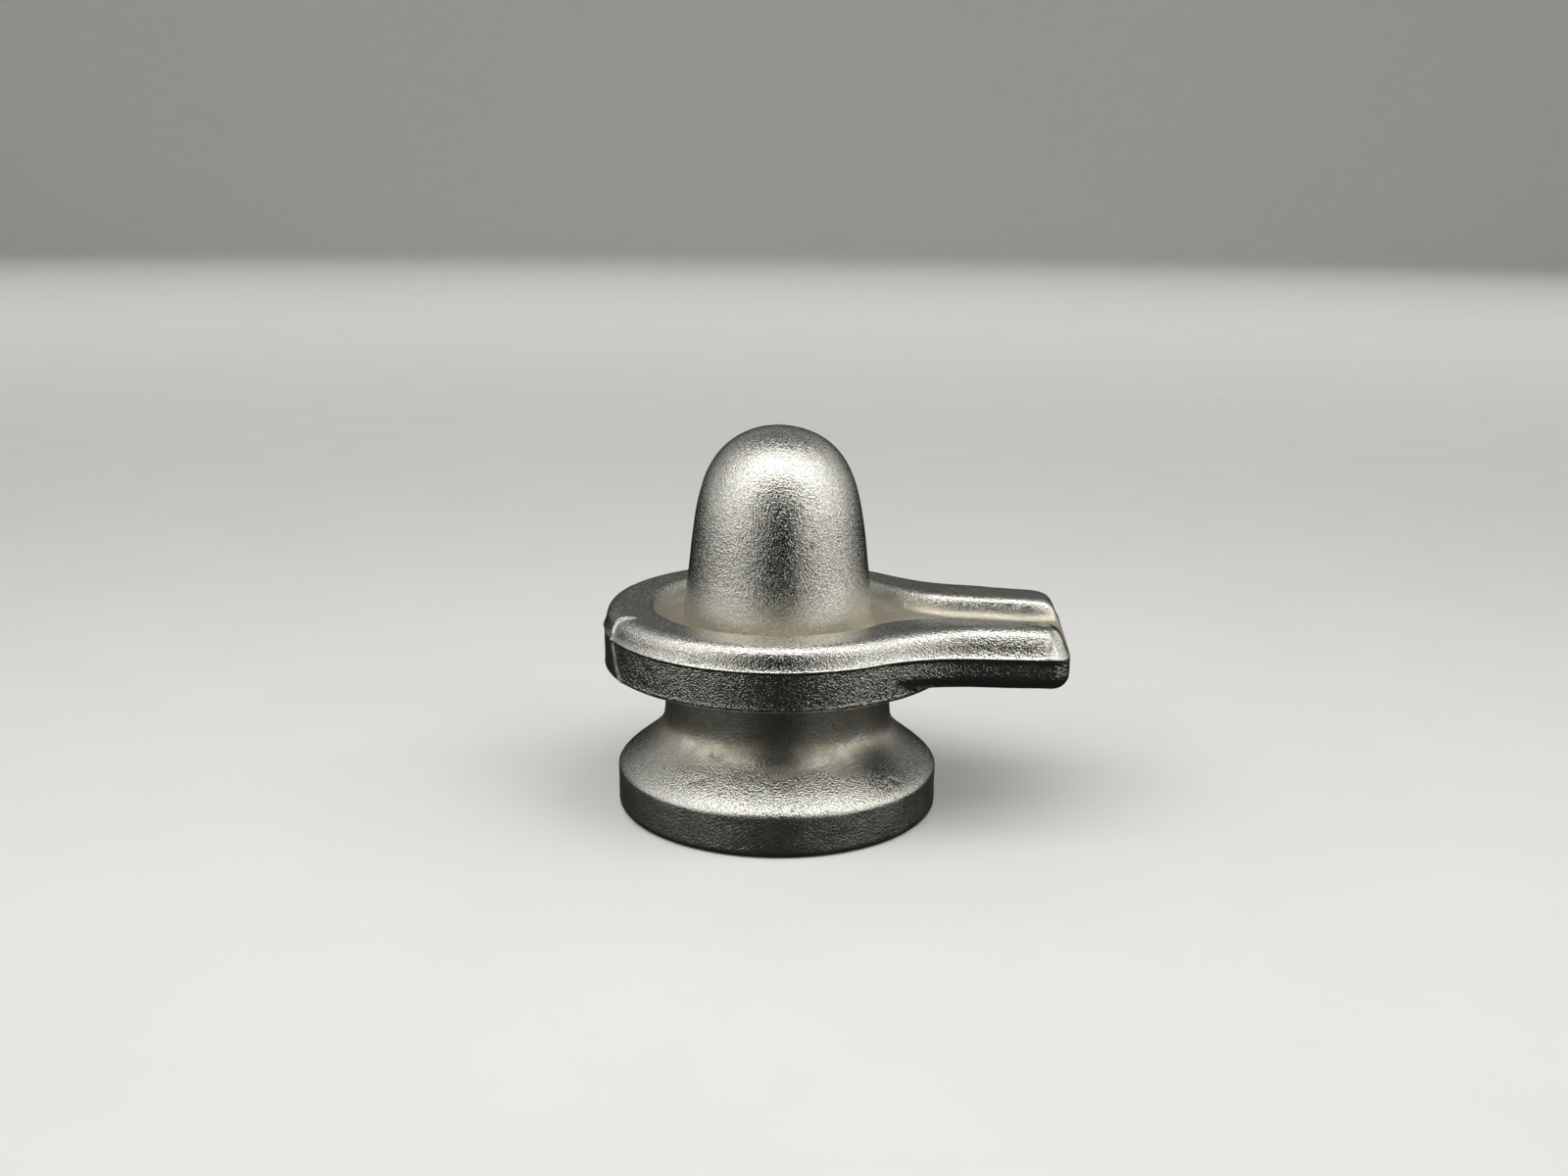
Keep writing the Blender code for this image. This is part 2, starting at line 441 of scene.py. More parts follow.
@dataclass
class TurnedFoot:
    """The turned foot, its swept shoulder, the neck and the underside of the drum."""

    radius: float = 16.0 * MM
    wall: float = 4.1 * MM
    edge: float = 0.6 * MM
    sweep_rise: float = 5.2 * MM
    shoulder_lean: float = 24.0
    shoulder_pull: float = 0.27
    cove_pull: float = 0.38
    crease_softening: float = 0.20 * MM
    neck_radius: float = 11.25 * MM
    neck_length: float = 5.3 * MM
    neck_fillet: float = 1.0 * MM
    drum_radius: float = 17.24 * MM
    drum_edge: float = 0.32 * MM
    lip_height: float = 0.50 * MM
    lip_stand: float = 0.04 * MM
    turn_reach: float = 1.8 * MM
    turn_passes: int = 16
    curve_steps: int = 60
    underside_rings: tuple[float, ...] = (0.25, 0.5, 0.7, 0.85)
    edge_rows: int = 5
    wall_rows: int = 12
    sweep_rows: int = 28
    neck_rows: int = 11
    fillet_rows: int = 6
    ceiling_rows: int = 8
    lip_rows: int = 4

    @property
    def neck_foot_z(self) -> float:
        """The height at which the neck starts."""
        return self.wall + self.sweep_rise

    @property
    def drum_underside_z(self) -> float:
        """The height of the drum's underside."""
        return self.neck_foot_z + self.neck_length

    @property
    def drum_wall_radius(self) -> float:
        """The radius of the drum's wall above its lip."""
        return self.drum_radius - self.lip_stand

    @property
    def lip_top_z(self) -> float:
        """The height at which the drum's lip runs out into its wall."""
        return self.drum_underside_z + self.lip_height

    def ease_turn(self, line: Array) -> Array:
        """Spread the turn from sweep to neck over a longer stretch.

        Args:
            line: The points of sweep and neck, one a row.

        Returns:
            The moved points.
        """
        near = np.exp(-((line[:, 1] - self.neck_foot_z) / self.turn_reach) ** 2)[1:-1, None]
        for _ in range(self.turn_passes):
            middle = (line[:-2] + line[2:]) / 2
            moved = line[1:-1] + near * (middle - line[1:-1]) / 2
            line = np.concatenate([line[:1], moved, line[-1:]])
        return line

    def profile(self) -> Array:
        """Trace half the section from the underside to the drum's lip.

        Returns:
            Radius and height of each point, from near the middle of the underside.
        """
        lean = math.radians(self.shoulder_lean)
        shoulder = self.shoulder_pull * self.sweep_rise
        under = self.drum_underside_z
        fillet_z = under - self.neck_fillet
        sweep = bezier_points(
            [
                (self.radius, self.wall),
                (self.radius - shoulder * math.sin(lean), self.wall + shoulder * math.cos(lean)),
                (self.neck_radius, self.neck_foot_z - self.cove_pull * self.sweep_rise),
                (self.neck_radius, self.neck_foot_z),
            ],
            self.curve_steps,
        )
        soft = self.crease_softening
        wall = np.array([(self.radius, self.edge), (self.radius, self.wall - soft)])
        neck = np.array([(self.neck_radius, self.neck_foot_z), (self.neck_radius, fillet_z)])
        fillet_x = self.neck_radius + self.neck_fillet
        edge_x = self.drum_radius - self.drum_edge
        ceiling = np.array([(fillet_x, under), (edge_x, under)])
        underside = self.radius * np.array(self.underside_rings)
        rise = [resample(sweep, self.sweep_rows), resample(neck, self.neck_rows)[1:]]
        return np.concatenate([
            np.column_stack([underside, np.zeros(len(underside))]),
            arc_points((self.radius - self.edge, self.edge), self.edge, -90, 0, self.edge_rows),
            resample(wall, self.wall_rows)[1:],
            self.ease_turn(np.concatenate(rise)),
            arc_points((fillet_x, fillet_z), self.neck_fillet, 180, 90, self.fillet_rows)[1:],
            resample(ceiling, self.ceiling_rows)[1:],
            arc_points((edge_x, under + self.drum_edge), self.drum_edge, -90, 0, self.lip_rows)[1:],
        ])


@dataclass
class Tray:
    """The spouted tray over the drum, with its basin and channel."""

    foot: TurnedFoot
    ledge_radius: float = 17.3 * MM
    underside_step: float = 0.55 * MM
    lower_tier: float = 3.3 * MM
    lower_round: float = 1.6 * MM
    ledge_overhang: float = 0.30 * MM
    tip_overhang: float = 0.04 * MM
    tip_fill: Range = (4.5 * MM, 1.5 * MM)
    corner_gap: float = 0.02 * MM
    ledge_softening: float = 0.05 * MM
    arris: tuple[tuple[float, float], ...] = ((0.35, -0.6), (0.0, 0.0), (0.25, 0.5), (0.9, 1.0))
    upper_tier: float = 2.2 * MM
    cove_height: float = 1.42 * MM
    cove_setback: float = 0.46 * MM
    cove_foot_lean: float = 27.0
    cove_head_lean: float = 20.0
    cove_pull: float = 0.42
    cove_curve_steps: int = 40
    cove_rows: int = 9
    arm_stretch: Range = (12 * MM, 21 * MM)
    arm_cove_gain: float = 1.6
    far_arm_lift: float = 0.20 * MM
    near_arm_lift: float = 0.36 * MM
    near_arm_inner_lift: float = -0.05 * MM
    spout_reach: float = 28.2 * MM
    spout_tip_half_width: float = 9.2 * MM
    spout_taper: float = 6.0
    spout_blend: float = 16.0 * MM
    spout_corner: float = 2.1 * MM
    spout_droop: float = 1.1
    spout_droop_start: float = 10.5 * MM
    tip_roll: float = 0.45 * MM
    tip_roll_length: float = 2.4 * MM
    corner_bevel: float = 0.40 * MM
    far_bevel_share: float = 0.5
    basin_radius: float = 13.0 * MM
    trough_depth: float = 1.95 * MM
    trough_lip: float = 0.76 * MM
    trough_wall_lean: float = 22.0
    trough_floor_round: float = 1.30 * MM
    trough_margin: float = 0.15 * MM
    channel_tip_half_width: float = 4.0 * MM
    channel_taper: float = 0.8
    channel_blend: float = 10.0 * MM
    channel_reach: float = 29.7 * MM
    mouth_line: float = 25.7 * MM
    under_rows: int = 18
    tier_points: int = 12
    overhang_points: int = 9
    side_rows: int = 24
    trough_lip_rows: int = 5
    trough_foot_rows: int = 6
    round_rows: int = 9
    flat_rows: int = 7
    floor_rows: int = 7
    underside_weight: float = 0.25

    def __post_init__(self) -> None:
        """Work out the heights, the two outlines and the columns."""
        self.underside_z = self.foot.drum_underside_z + self.underside_step
        self.ledge_z = self.underside_z + self.lower_tier
        self.top_z = self.ledge_z + self.upper_tier
        self.floor_z = self.top_z - self.trough_depth
        self.outer = Keyhole(
            self.ledge_radius,
            self.spout_blend,
            self.spout_tip_half_width,
            self.spout_taper,
            self.spout_reach,
            self.spout_corner,
        )
        self.inner = Keyhole(
            self.basin_radius,
            self.channel_blend,
            self.channel_tip_half_width,
            self.channel_taper,
            self.channel_reach,
            self.trough_lip,
        )
        self.section = self.trough_section()
        self.columns = Columns(mouth_depths=self.section[:, 0])
        self.columns.lay_out(math.degrees(self.outer.leave))
        rim = self.outline(0.0)
        self.polar = np.arctan2(rim[:, 1], rim[:, 0])
        self.direction = np.stack([np.cos(self.polar), np.sin(self.polar)], 1)
        self.set_channel_path(rim)

    def settle(self, x: Array, height: Array | float) -> Array:
        """Tell how far the spout hangs below the level of the ring.

        Args:
            x: The distances along the spout.
            height: The heights as they would be without the droop.

        Returns:
            The drops.
        """
        droop = math.tan(math.radians(self.spout_droop)) * np.maximum(0, x - self.spout_droop_start)
        rolled = np.maximum(0, x - self.spout_reach + self.tip_roll_length) / self.tip_roll_length
        above = np.clip((height - self.ledge_z) / self.upper_tier, 0, 1)
        return droop + self.tip_roll * above * rolled ** 2

    def trough_section(self) -> Array:
        """Trace the side of basin and channel.

        Returns:
            Depth inside the edge and height of each point, from lip to floor.
        """
        lean = self.trough_wall_lean
        bend = self.trough_floor_round
        lip_centre = (0.0, self.top_z - self.trough_lip)
        lip = arc_points(lip_centre, self.trough_lip, 90, lean, self.trough_lip_rows)
        run = bend * (1 - math.sin(math.radians(lean)))
        drop = self.trough_depth - (self.top_z - lip[-1, 1]) - run
        wall_foot = lip[-1, 0] + drop * math.tan(math.radians(lean))
        centre = wall_foot + bend * math.cos(math.radians(lean))
        foot_centre = (centre, self.floor_z + bend)
        floor = arc_points(foot_centre, bend, 180 + lean, 270, self.trough_foot_rows)
        middle = (lip[-1] + floor[0]) / 2
        before = (-self.trough_margin, self.top_z)
        beyond = (centre + self.trough_margin, self.floor_z)
        return np.concatenate([[before], lip, [middle], floor, [beyond]])

    def outline(self, depth: float) -> Array:
        """Lay out the tray's outline.

        Args:
            depth: How far it is drawn in.

        Returns:
            The plan point of every column.
        """
        shape = self.outer.inset(depth)
        columns = self.columns
        share = columns.share
        plan = np.zeros((columns.count, 2))
        ring = columns.which(Stretch.RING)
        plan[ring] = shape.on_ring(math.pi + (shape.leave - math.pi) * share[ring])
        blend = columns.which(Stretch.BLEND)
        plan[blend] = shape.on_blend(shape.blend_turn * share[blend])
        centre = np.array(shape.tip_centre)
        side_start = shape.on_blend(np.array(shape.blend_turn))
        corner_start = centre + shape.corner * np.array([math.sin(shape.slope), math.cos(shape.slope)])
        side = columns.which(Stretch.SIDE)
        plan[side] = side_start + (corner_start - side_start) * share[side, None]
        corner = columns.which(Stretch.CORNER)
        angle = (math.pi / 2 - shape.slope) * (1 - share[corner])
        plan[corner] = centre + shape.corner * np.stack([np.cos(angle), np.sin(angle)], -1)
        slope = self.inner.slope
        edges = self.inner.side - columns.mouth_depths[[0, -1]]
        first, last = (edges - shape.reach * math.sin(slope)) / math.cos(slope)
        arm = columns.which(Stretch.ARM_END)
        plan[arm, 1] = centre[1] + (first - centre[1]) * share[arm]
        wall = columns.which(Stretch.MOUTH_WALL)
        plan[wall, 1] = (self.inner.side - share[wall] - shape.reach * math.sin(slope)) / math.cos(slope)
        floor = columns.which(Stretch.MOUTH_FLOOR)
        plan[floor, 1] = last * (1 - share[floor])
        plan[arm | wall | floor, 0] = shape.reach
        plan[:, 1] *= columns.hand
        return plan

    def set_channel_path(self, rim: Array) -> None:
        """Set how far each column past the ring stands along the trough's edge.

        Args:
            rim: The plan of the ledge at every column.
        """
        columns = self.columns
        self.past_ring = ~columns.which(Stretch.RING, Stretch.MOUTH_WALL, Stretch.MOUTH_FLOOR)
        inner = self.inner
        self.path_ring = inner.radius * (self.outer.leave - inner.leave)
        self.path_blend = inner.blend * inner.blend_turn
        length = self.path_ring + self.path_blend + self.mouth_line - inner.shift
        self.path = np.zeros(columns.count)
        for hand in (1.0, -1.0):
            numbers = np.flatnonzero(self.past_ring & (columns.hand == hand))
            if hand > 0:
                numbers = numbers[::-1]
            chords = np.linalg.norm(np.diff(rim[numbers], axis=0), axis=1)
            travelled = np.concatenate([[0.0], np.cumsum(chords)])
            self.path[numbers] = travelled / travelled[-1] * length

    def trough_line(self, depth: float) -> Array:
        """Lay out the trough's edge.

        The columns of the mouth stand on the line where the channel's own rows end.

        Args:
            depth: How far the edge is drawn in.

        Returns:
            The plan point of every column.
        """
        columns = self.columns
        inner = self.inner
        plan = np.zeros((columns.count, 2))
        ring = columns.which(Stretch.RING)
        plan[ring] = inner.on_ring(np.abs(self.polar[ring]), depth)
        path = self.path
        turn_end = self.path_ring + self.path_blend
        on_ring = self.past_ring & (path < self.path_ring)
        plan[on_ring] = inner.on_ring(self.outer.leave - path[on_ring] / inner.radius, depth)
        on_blend = self.past_ring & (path >= self.path_ring) & (path < turn_end)
        plan[on_blend] = inner.on_blend((path[on_blend] - self.path_ring) / inner.blend, depth)
        on_side = self.past_ring & (path >= turn_end)
        along = inner.shift + path[on_side] - turn_end
        plan[on_side] = inner.from_side(along, np.full(along.shape, inner.side - depth))
        wall = columns.which(Stretch.MOUTH_WALL)
        outward = inner.side - columns.share[wall]
        plan[wall] = inner.from_side(np.full(outward.shape, self.mouth_line), outward)
        end = inner.from_side(np.array(self.mouth_line), np.array(inner.side - columns.mouth_depths[-1]))
        floor = columns.which(Stretch.MOUTH_FLOOR)
        plan[floor] = end
        plan[floor, 1] = end[1] * (1 - columns.share[floor])
        plan[:, 1] *= columns.hand
        return plan

    def lower_section(self) -> Array:
        """Trace the side of the lower tier.

        Returns:
            Inset and height of each point, from the underside to the ledge's arris.
        """
        turned = arc_points((0.0, 0.0), 1.0, 0, 90, self.under_rows)
        under = np.column_stack([
            self.ledge_overhang + self.lower_round * (1 - turned[:, 1]),
            self.underside_z + self.lower_round * (1 - turned[:, 0]),
        ])
        overhang_z = self.ledge_z - self.ledge_overhang
        overhang = (self.ledge_overhang, overhang_z)
        side = np.linspace((self.ledge_overhang, under[-1, 1]), overhang, self.tier_points)[1:]
        lip = np.linspace(overhang, (0.0, self.ledge_z), self.overhang_points)[1:-1]
        return np.concatenate([under, side, lip])

    def lower_side(self) -> Array:
        """Return the points of drum wall, underside and lower tier at every column.

        Returns:
            An array of rows, columns and coordinates, from the drum's lip to the overhang.
        """
        section = self.lower_section()
        plans = np.stack([self.outline(inset) for inset, _ in section])
        kept_share = self.tip_overhang / self.ledge_overhang
        filled = np.minimum(section[:, 0], self.ledge_overhang) * (1 - kept_share)
        fill_start, fill_end = (self.spout_reach - back for back in self.tip_fill)
        plans[:, :, 0] += filled[:, None] * smooth_step(plans[:, :, 0], fill_start, fill_end)
        reach = np.linalg.norm(plans, axis=2)
        drum = self.foot.drum_wall_radius
        lip_z = self.foot.lip_top_z
        rows = np.zeros((self.side_rows + 1, self.columns.count, 3))
        for j, direction in enumerate(self.direction):
            outside = np.flatnonzero(reach[:, j] >= drum)
            first = outside[0]
            corner_z = self.underside_z
            if first > 0:
                share = (drum - reach[first - 1, j]) / (reach[first, j] - reach[first - 1, j])
                corner_z = section[first - 1, 1] + share * (section[first, 1] - section[first - 1, 1])
            corner_z = max(corner_z, lip_z + self.corner_gap)
            kept = np.column_stack([plans[outside, j], np.maximum(section[outside, 1], corner_z)])
            line = np.vstack([[*(drum * direction), lip_z], [*(drum * direction), corner_z], kept])
            line[1:, 2] -= self.settle(line[1:, 0], line[1:, 2])
            weights = np.ones(len(line) - 1)
            if first == 0:
                weights[1] = self.underside_weight
            rows[:, j] = resample(line, self.side_rows, weights)
        return rows

    def upper_section(self) -> Array:
        """Trace the cove between ledge and rim.

        Returns:
            Inset and rise of each point, from the ledge's arris to the foot of the round.
        """
        soft = self.ledge_softening
        arris = soft * np.array(self.arris)
        foot = tuple(arris[-1])
        head = (self.cove_setback, self.cove_height)
        low, high = math.radians(self.cove_foot_lean), math.radians(self.cove_head_lean)
        pull = self.cove_pull * (self.cove_height - soft)
        cove = bezier_points(
            [
                foot,
                (foot[0] + pull * math.sin(low), foot[1] + pull * math.cos(low)),
                (head[0] - pull * math.sin(high), head[1] - pull * math.cos(high)),
                head,
            ],
            self.cove_curve_steps,
        )
        return np.concatenate([arris[:-1], resample(cove, self.cove_rows)])

    def rim_round(self) -> Array:
        """Trace the rim's round.

        Returns:
            Inset and rise of each point, past the cove's last one.
        """
        lean = math.radians(self.cove_head_lean)
        radius = (self.upper_tier - self.cove_height) / (1 - math.sin(lean))
        centre = (self.cove_setback + radius * math.cos(lean), self.upper_tier - radius)
        return arc_points(centre, radius, 180 - self.cove_head_lean, 90, self.round_rows)[1:]

    def mouth_heights(self, height: float) -> Array:
        """Cut a level row down to the channel in the spout's mouth.

        Args:
            height: The row's height elsewhere.

        Returns:
            The height at every column.
        """
        heights = np.full(self.columns.count, height)
        wall = self.columns.which(Stretch.MOUTH_WALL)
        cut = np.interp(self.columns.share[wall], self.section[:, 0], self.section[:, 1])
        heights[wall] = np.minimum(height, cut)
        floor = self.columns.which(Stretch.MOUTH_FLOOR)
        heights[floor] = min(height, self.floor_z)
        return heights

    def place(self, plan: Array, heights: Array | float) -> Array:
        """Return points in space from a plan and its heights, with the spout's droop."""
        heights = np.broadcast_to(heights, (len(plan),))
        return np.column_stack([plan, heights - self.settle(plan[:, 0], heights)])

    def along_arms(self) -> Array:
        """Return 0 at the ring's columns, 1 on the arms and a soft rise between them."""
        return smooth_step(self.outline(0.0)[:, 0], *self.arm_stretch)

    def arm_lift(self, heights: Array | float, inward: float) -> Array:
        """Tell how much higher the arms stand than the ring does.

        Args:
            heights: The heights of the points, which the lift grows with.
            inward: 0 at the rim's round and 1 at the trough's edge.

        Returns:
            The lift at every column.
        """
        columns = self.columns
        across = np.where(columns.which(Stretch.ARM_END), columns.share, 0.0)
        across[columns.which(Stretch.MOUTH_WALL, Stretch.MOUTH_FLOOR)] = 1.0
        towards = across + (1 - across) * inward
        near = self.near_arm_lift + (self.near_arm_inner_lift - self.near_arm_lift) * towards
        full = np.where(columns.hand > 0, self.far_arm_lift, near)
        base = self.ledge_z + (self.floor_z - self.ledge_z) * inward
        return self.along_arms() * full * np.clip((heights - base) / (self.top_z - base), 0, 1)

    def upper_rows(self) -> list[Array]:
        """Lay out the rows of the upper tier.

        Returns:
            The points of each row, from the ledge's arris to the trough's lip.
        """
        rows = []
        columns = self.columns
        arm = self.along_arms()[:, None]
        corner = np.where(columns.which(Stretch.CORNER), np.sin(math.pi * columns.share), 0.0)
        corner = corner * np.where(columns.hand > 0, self.far_bevel_share, 1.0)
        inward = -np.stack([corner, corner * columns.hand], 1)
        for inset, rise in np.concatenate([self.upper_section(), self.rim_round()]):
            extra = (self.arm_cove_gain - 1) * min(inset, self.cove_setback)
            plan = self.outline(inset) + arm * (self.outline(inset + extra) - self.outline(inset))
            plan += self.corner_bevel * inward * min(1.0, max(0.0, rise / self.cove_height))
            heights = self.mouth_heights(self.ledge_z + rise)
            rows.append(self.place(plan, heights + self.arm_lift(heights, 0.0)))
        outer_plan, inner_plan = plan, self.trough_line(self.section[0, 0])
        for step in range(1, self.flat_rows + 1):
            plan = outer_plan + (inner_plan - outer_plan) * step / self.flat_rows
            heights = self.mouth_heights(self.top_z)
            rows.append(self.place(plan, heights + self.arm_lift(heights, step / self.flat_rows)))
        return rows

    def build_trough(self, grid: Grid, border: Array) -> Array:
        """Add the sides of basin and channel inside the rim.

        Args:
            grid: The mesh so far.
            border: The vertices of the rim's last row, one a column.

        Returns:
            The vertices round the floor, in order.
        """
        columns = self.columns
        wall = columns.which(Stretch.MOUTH_WALL)
        floor = columns.which(Stretch.MOUTH_FLOOR)
        left_wall = np.flatnonzero(wall & (columns.hand > 0))[::-1]
        right_wall = np.flatnonzero(wall & (columns.hand < 0))
        around = np.flatnonzero(~(wall | floor))
        last = border[around]
        for step in range(1, len(self.section)):
            depth, height = self.section[step]
            lifted = height + self.arm_lift(height, 1.0)[around[1:-1]]
            inside = grid.row(self.place(self.trough_line(depth)[around[1:-1]], lifted))
            row = np.concatenate([[border[left_wall[step - 1]]], inside, [border[right_wall[step - 1]]]])
            grid.strip(last, row, closed=False)
            last = row
        mouth = np.flatnonzero(floor)
        after = border[mouth[columns.hand[mouth] < 0]]
        before = border[mouth[columns.hand[mouth] > 0]]
        return np.concatenate([before, last, after])


@dataclass
class Shaft:
    """The domed lingam that stands in the basin."""

    radius: float = 9.45 * MM
    height: float = 19.38 * MM
    draft: float = 0.107
    crown_power: float = 6.27
    flare: float = 0.12 * MM
    landing: float = 0.35 * MM
    steps: int = 74
    fine_points: int = 600
    crowding: float = 0.8
    floor_crowding: float = 0.8

    def profile(self) -> Array:
        """Trace half the section of the shaft.

        Returns:
            Radius and rise of each point, from the basin's floor to the crown.
        """
        share = np.cos(np.linspace(0, math.pi / 2, self.fine_points)) ** self.crowding
        crown = np.sqrt(np.maximum(0, 1 - share ** self.crown_power))
        rise = share * self.height
        reach = (self.radius - self.draft * rise) * crown + self.flare * np.exp(-rise / self.flare)
        reach[0] = 0.0
        return resample(np.stack([reach, rise], 1)[::-1], self.steps)

    def build(self, grid: Grid, loop: Array, floor_z: float, floor_rows: int) -> None:
        """Add the basin's floor and the shaft on it.

        Args:
            grid: The mesh so far.
            loop: The vertices round the floor.
            floor_z: The floor's height.
            floor_rows: How many rows the floor has.
        """
        start = grid.points[loop]
        polar = np.arctan2(start[:, 1], start[:, 0])
        direction = np.stack([np.cos(polar), np.sin(polar)], 1)
        profile = self.profile()
        height = np.full(len(loop), floor_z)
        landing = np.column_stack([direction * (profile[0, 0] + self.landing), height])
        last = loop
        for step in range(1, floor_rows + 1):
            row = grid.row(start + (landing - start) * (step / floor_rows) ** self.floor_crowding)
            grid.strip(last, row)
            last = row
        for reach, rise in profile[:-1]:
            row = grid.row(np.column_stack([direction * reach, height + rise]))
            grid.strip(last, row)
            last = row
        crown = grid.row(np.array([(0.0, 0.0, floor_z + self.height)]))[0]
        grid.fan(crown, last, False)


@dataclass(frozen=True)
class Dent:
    """A pit, nick or lump in the skin, along a short line.

    The line's two ends are in millimetres. A depth below zero raises the skin.
    """

    start: Place
    end: Place
    radius: float
    depth: float

    def share(self, points: Array) -> Array:
        """Tell how near points lie to the dent's line.

        Args:
            points: The points, one a row.

        Returns:
            0 far off to 1 on the line.
        """
        first, last = np.array(self.start) * MM, np.array(self.end) * MM
        run = last - first
        along = np.clip((points - first) @ run / max(run @ run, TINY), 0, 1)[:, None]
        off = np.linalg.norm(points - first - along * run, axis=1)
        return np.exp(-((off / self.radius) ** 2))


@dataclass(frozen=True)
class Seam:
    """The mould seam up the side of the tray, with the patch where it was filed."""

    polar_top: float = 208.0
    lean: float = 6.8
    bottom_z: float = 14.7 * MM
    top_z: float = 19.5 * MM
    half_width: float = 0.40 * MM
    stand: float = 0.13 * MM
    stand_share: float = 0.65
    stand_lumps: Lumps = Lumps(0.75, 0.28 * MM, 3.0)
    wander: Lumps = Lumps(0.08 * MM, 0.9 * MM, 7.0)
    side_start: float = 15.6 * MM
    side_full: float = 16.2 * MM
    foot_start: float = -0.2 * MM
    foot_full: float = 0.1 * MM
    top_fade: float = 0.5 * MM
    mismatch: float = 0.05 * MM
    mismatch_reach: float = 3.0 * MM
    mismatch_half_width: float = 0.12 * MM
    patch_stand: float = 0.06 * MM
    patch_lumps: Lumps = Lumps(0.06 * MM, 0.35 * MM, 5.0)
    filed: tuple[Dent, ...] = (
        Dent((-14.95, -7.95, 19.3), (-14.4, -8.1, 20.2), 0.46 * MM, -0.06 * MM),
        Dent((-14.4, -8.1, 20.2), (-13.2, -8.4, 20.66), 0.50 * MM, -0.06 * MM),
    )

    def patch(self, points: Array) -> Array:
        """Return how near points lie to the filed patch, from 0 to 1."""
        return np.maximum.reduce([dent.share(points) for dent in self.filed])

    def across(self, points: Array) -> Array:
        """Measure the distance round the side from the seam.

        Args:
            points: The points, one a row.

        Returns:
            The distances, above zero anticlockwise of the seam.
        """
        polar = np.degrees(np.arctan2(points[:, 1], points[:, 0])) % 360
        rise = np.clip((points[:, 2] - self.bottom_z) / (self.top_z - self.bottom_z), 0, 1)
        line = self.polar_top + self.lean * (1 - rise) ** 2
        return np.radians(polar - line) * np.hypot(points[:, 0], points[:, 1])

    def on_side(self, points: Array) -> Array:
        """Tell which points lie on the tray's outer side.

        Args:
            points: The points, one a row.

        Returns:
            1 on the side and 0 elsewhere, with soft ends.
        """
        z = points[:, 2]
        outer = smooth_step(np.hypot(points[:, 0], points[:, 1]), self.side_start, self.side_full)
        low = smooth_step(z, self.bottom_z + self.foot_start, self.bottom_z + self.foot_full)
        return outer * low * (1 - smooth_step(z, self.top_z, self.top_z + self.top_fade))

    def ridge(self, points: Array) -> Array:
        """Return how near points lie to the seam's ridge, from 0 to 1."""
        off = (self.across(points) + self.wander.at(points)) / self.half_width
        return np.exp(-off ** 2) * self.on_side(points)

    def lift(self, points: Array) -> Array:
        """Work out how far the seam moves the skin outwards.

        Args:
            points: The vertices, one a row.

        Returns:
            The distance at each vertex.
        """
        rough = self.stand_share + self.stand_lumps.at(points)
        across = self.across(points)
        behind = smooth_step(-across, -self.mismatch_half_width, self.mismatch_half_width)
        behind = behind * np.exp(-np.abs(across) / self.mismatch_reach) * self.on_side(points)
        patch = self.patch(points) * (self.patch_stand + self.patch_lumps.at(points))
        return self.stand * rough * self.ridge(points) - self.mismatch * behind + patch


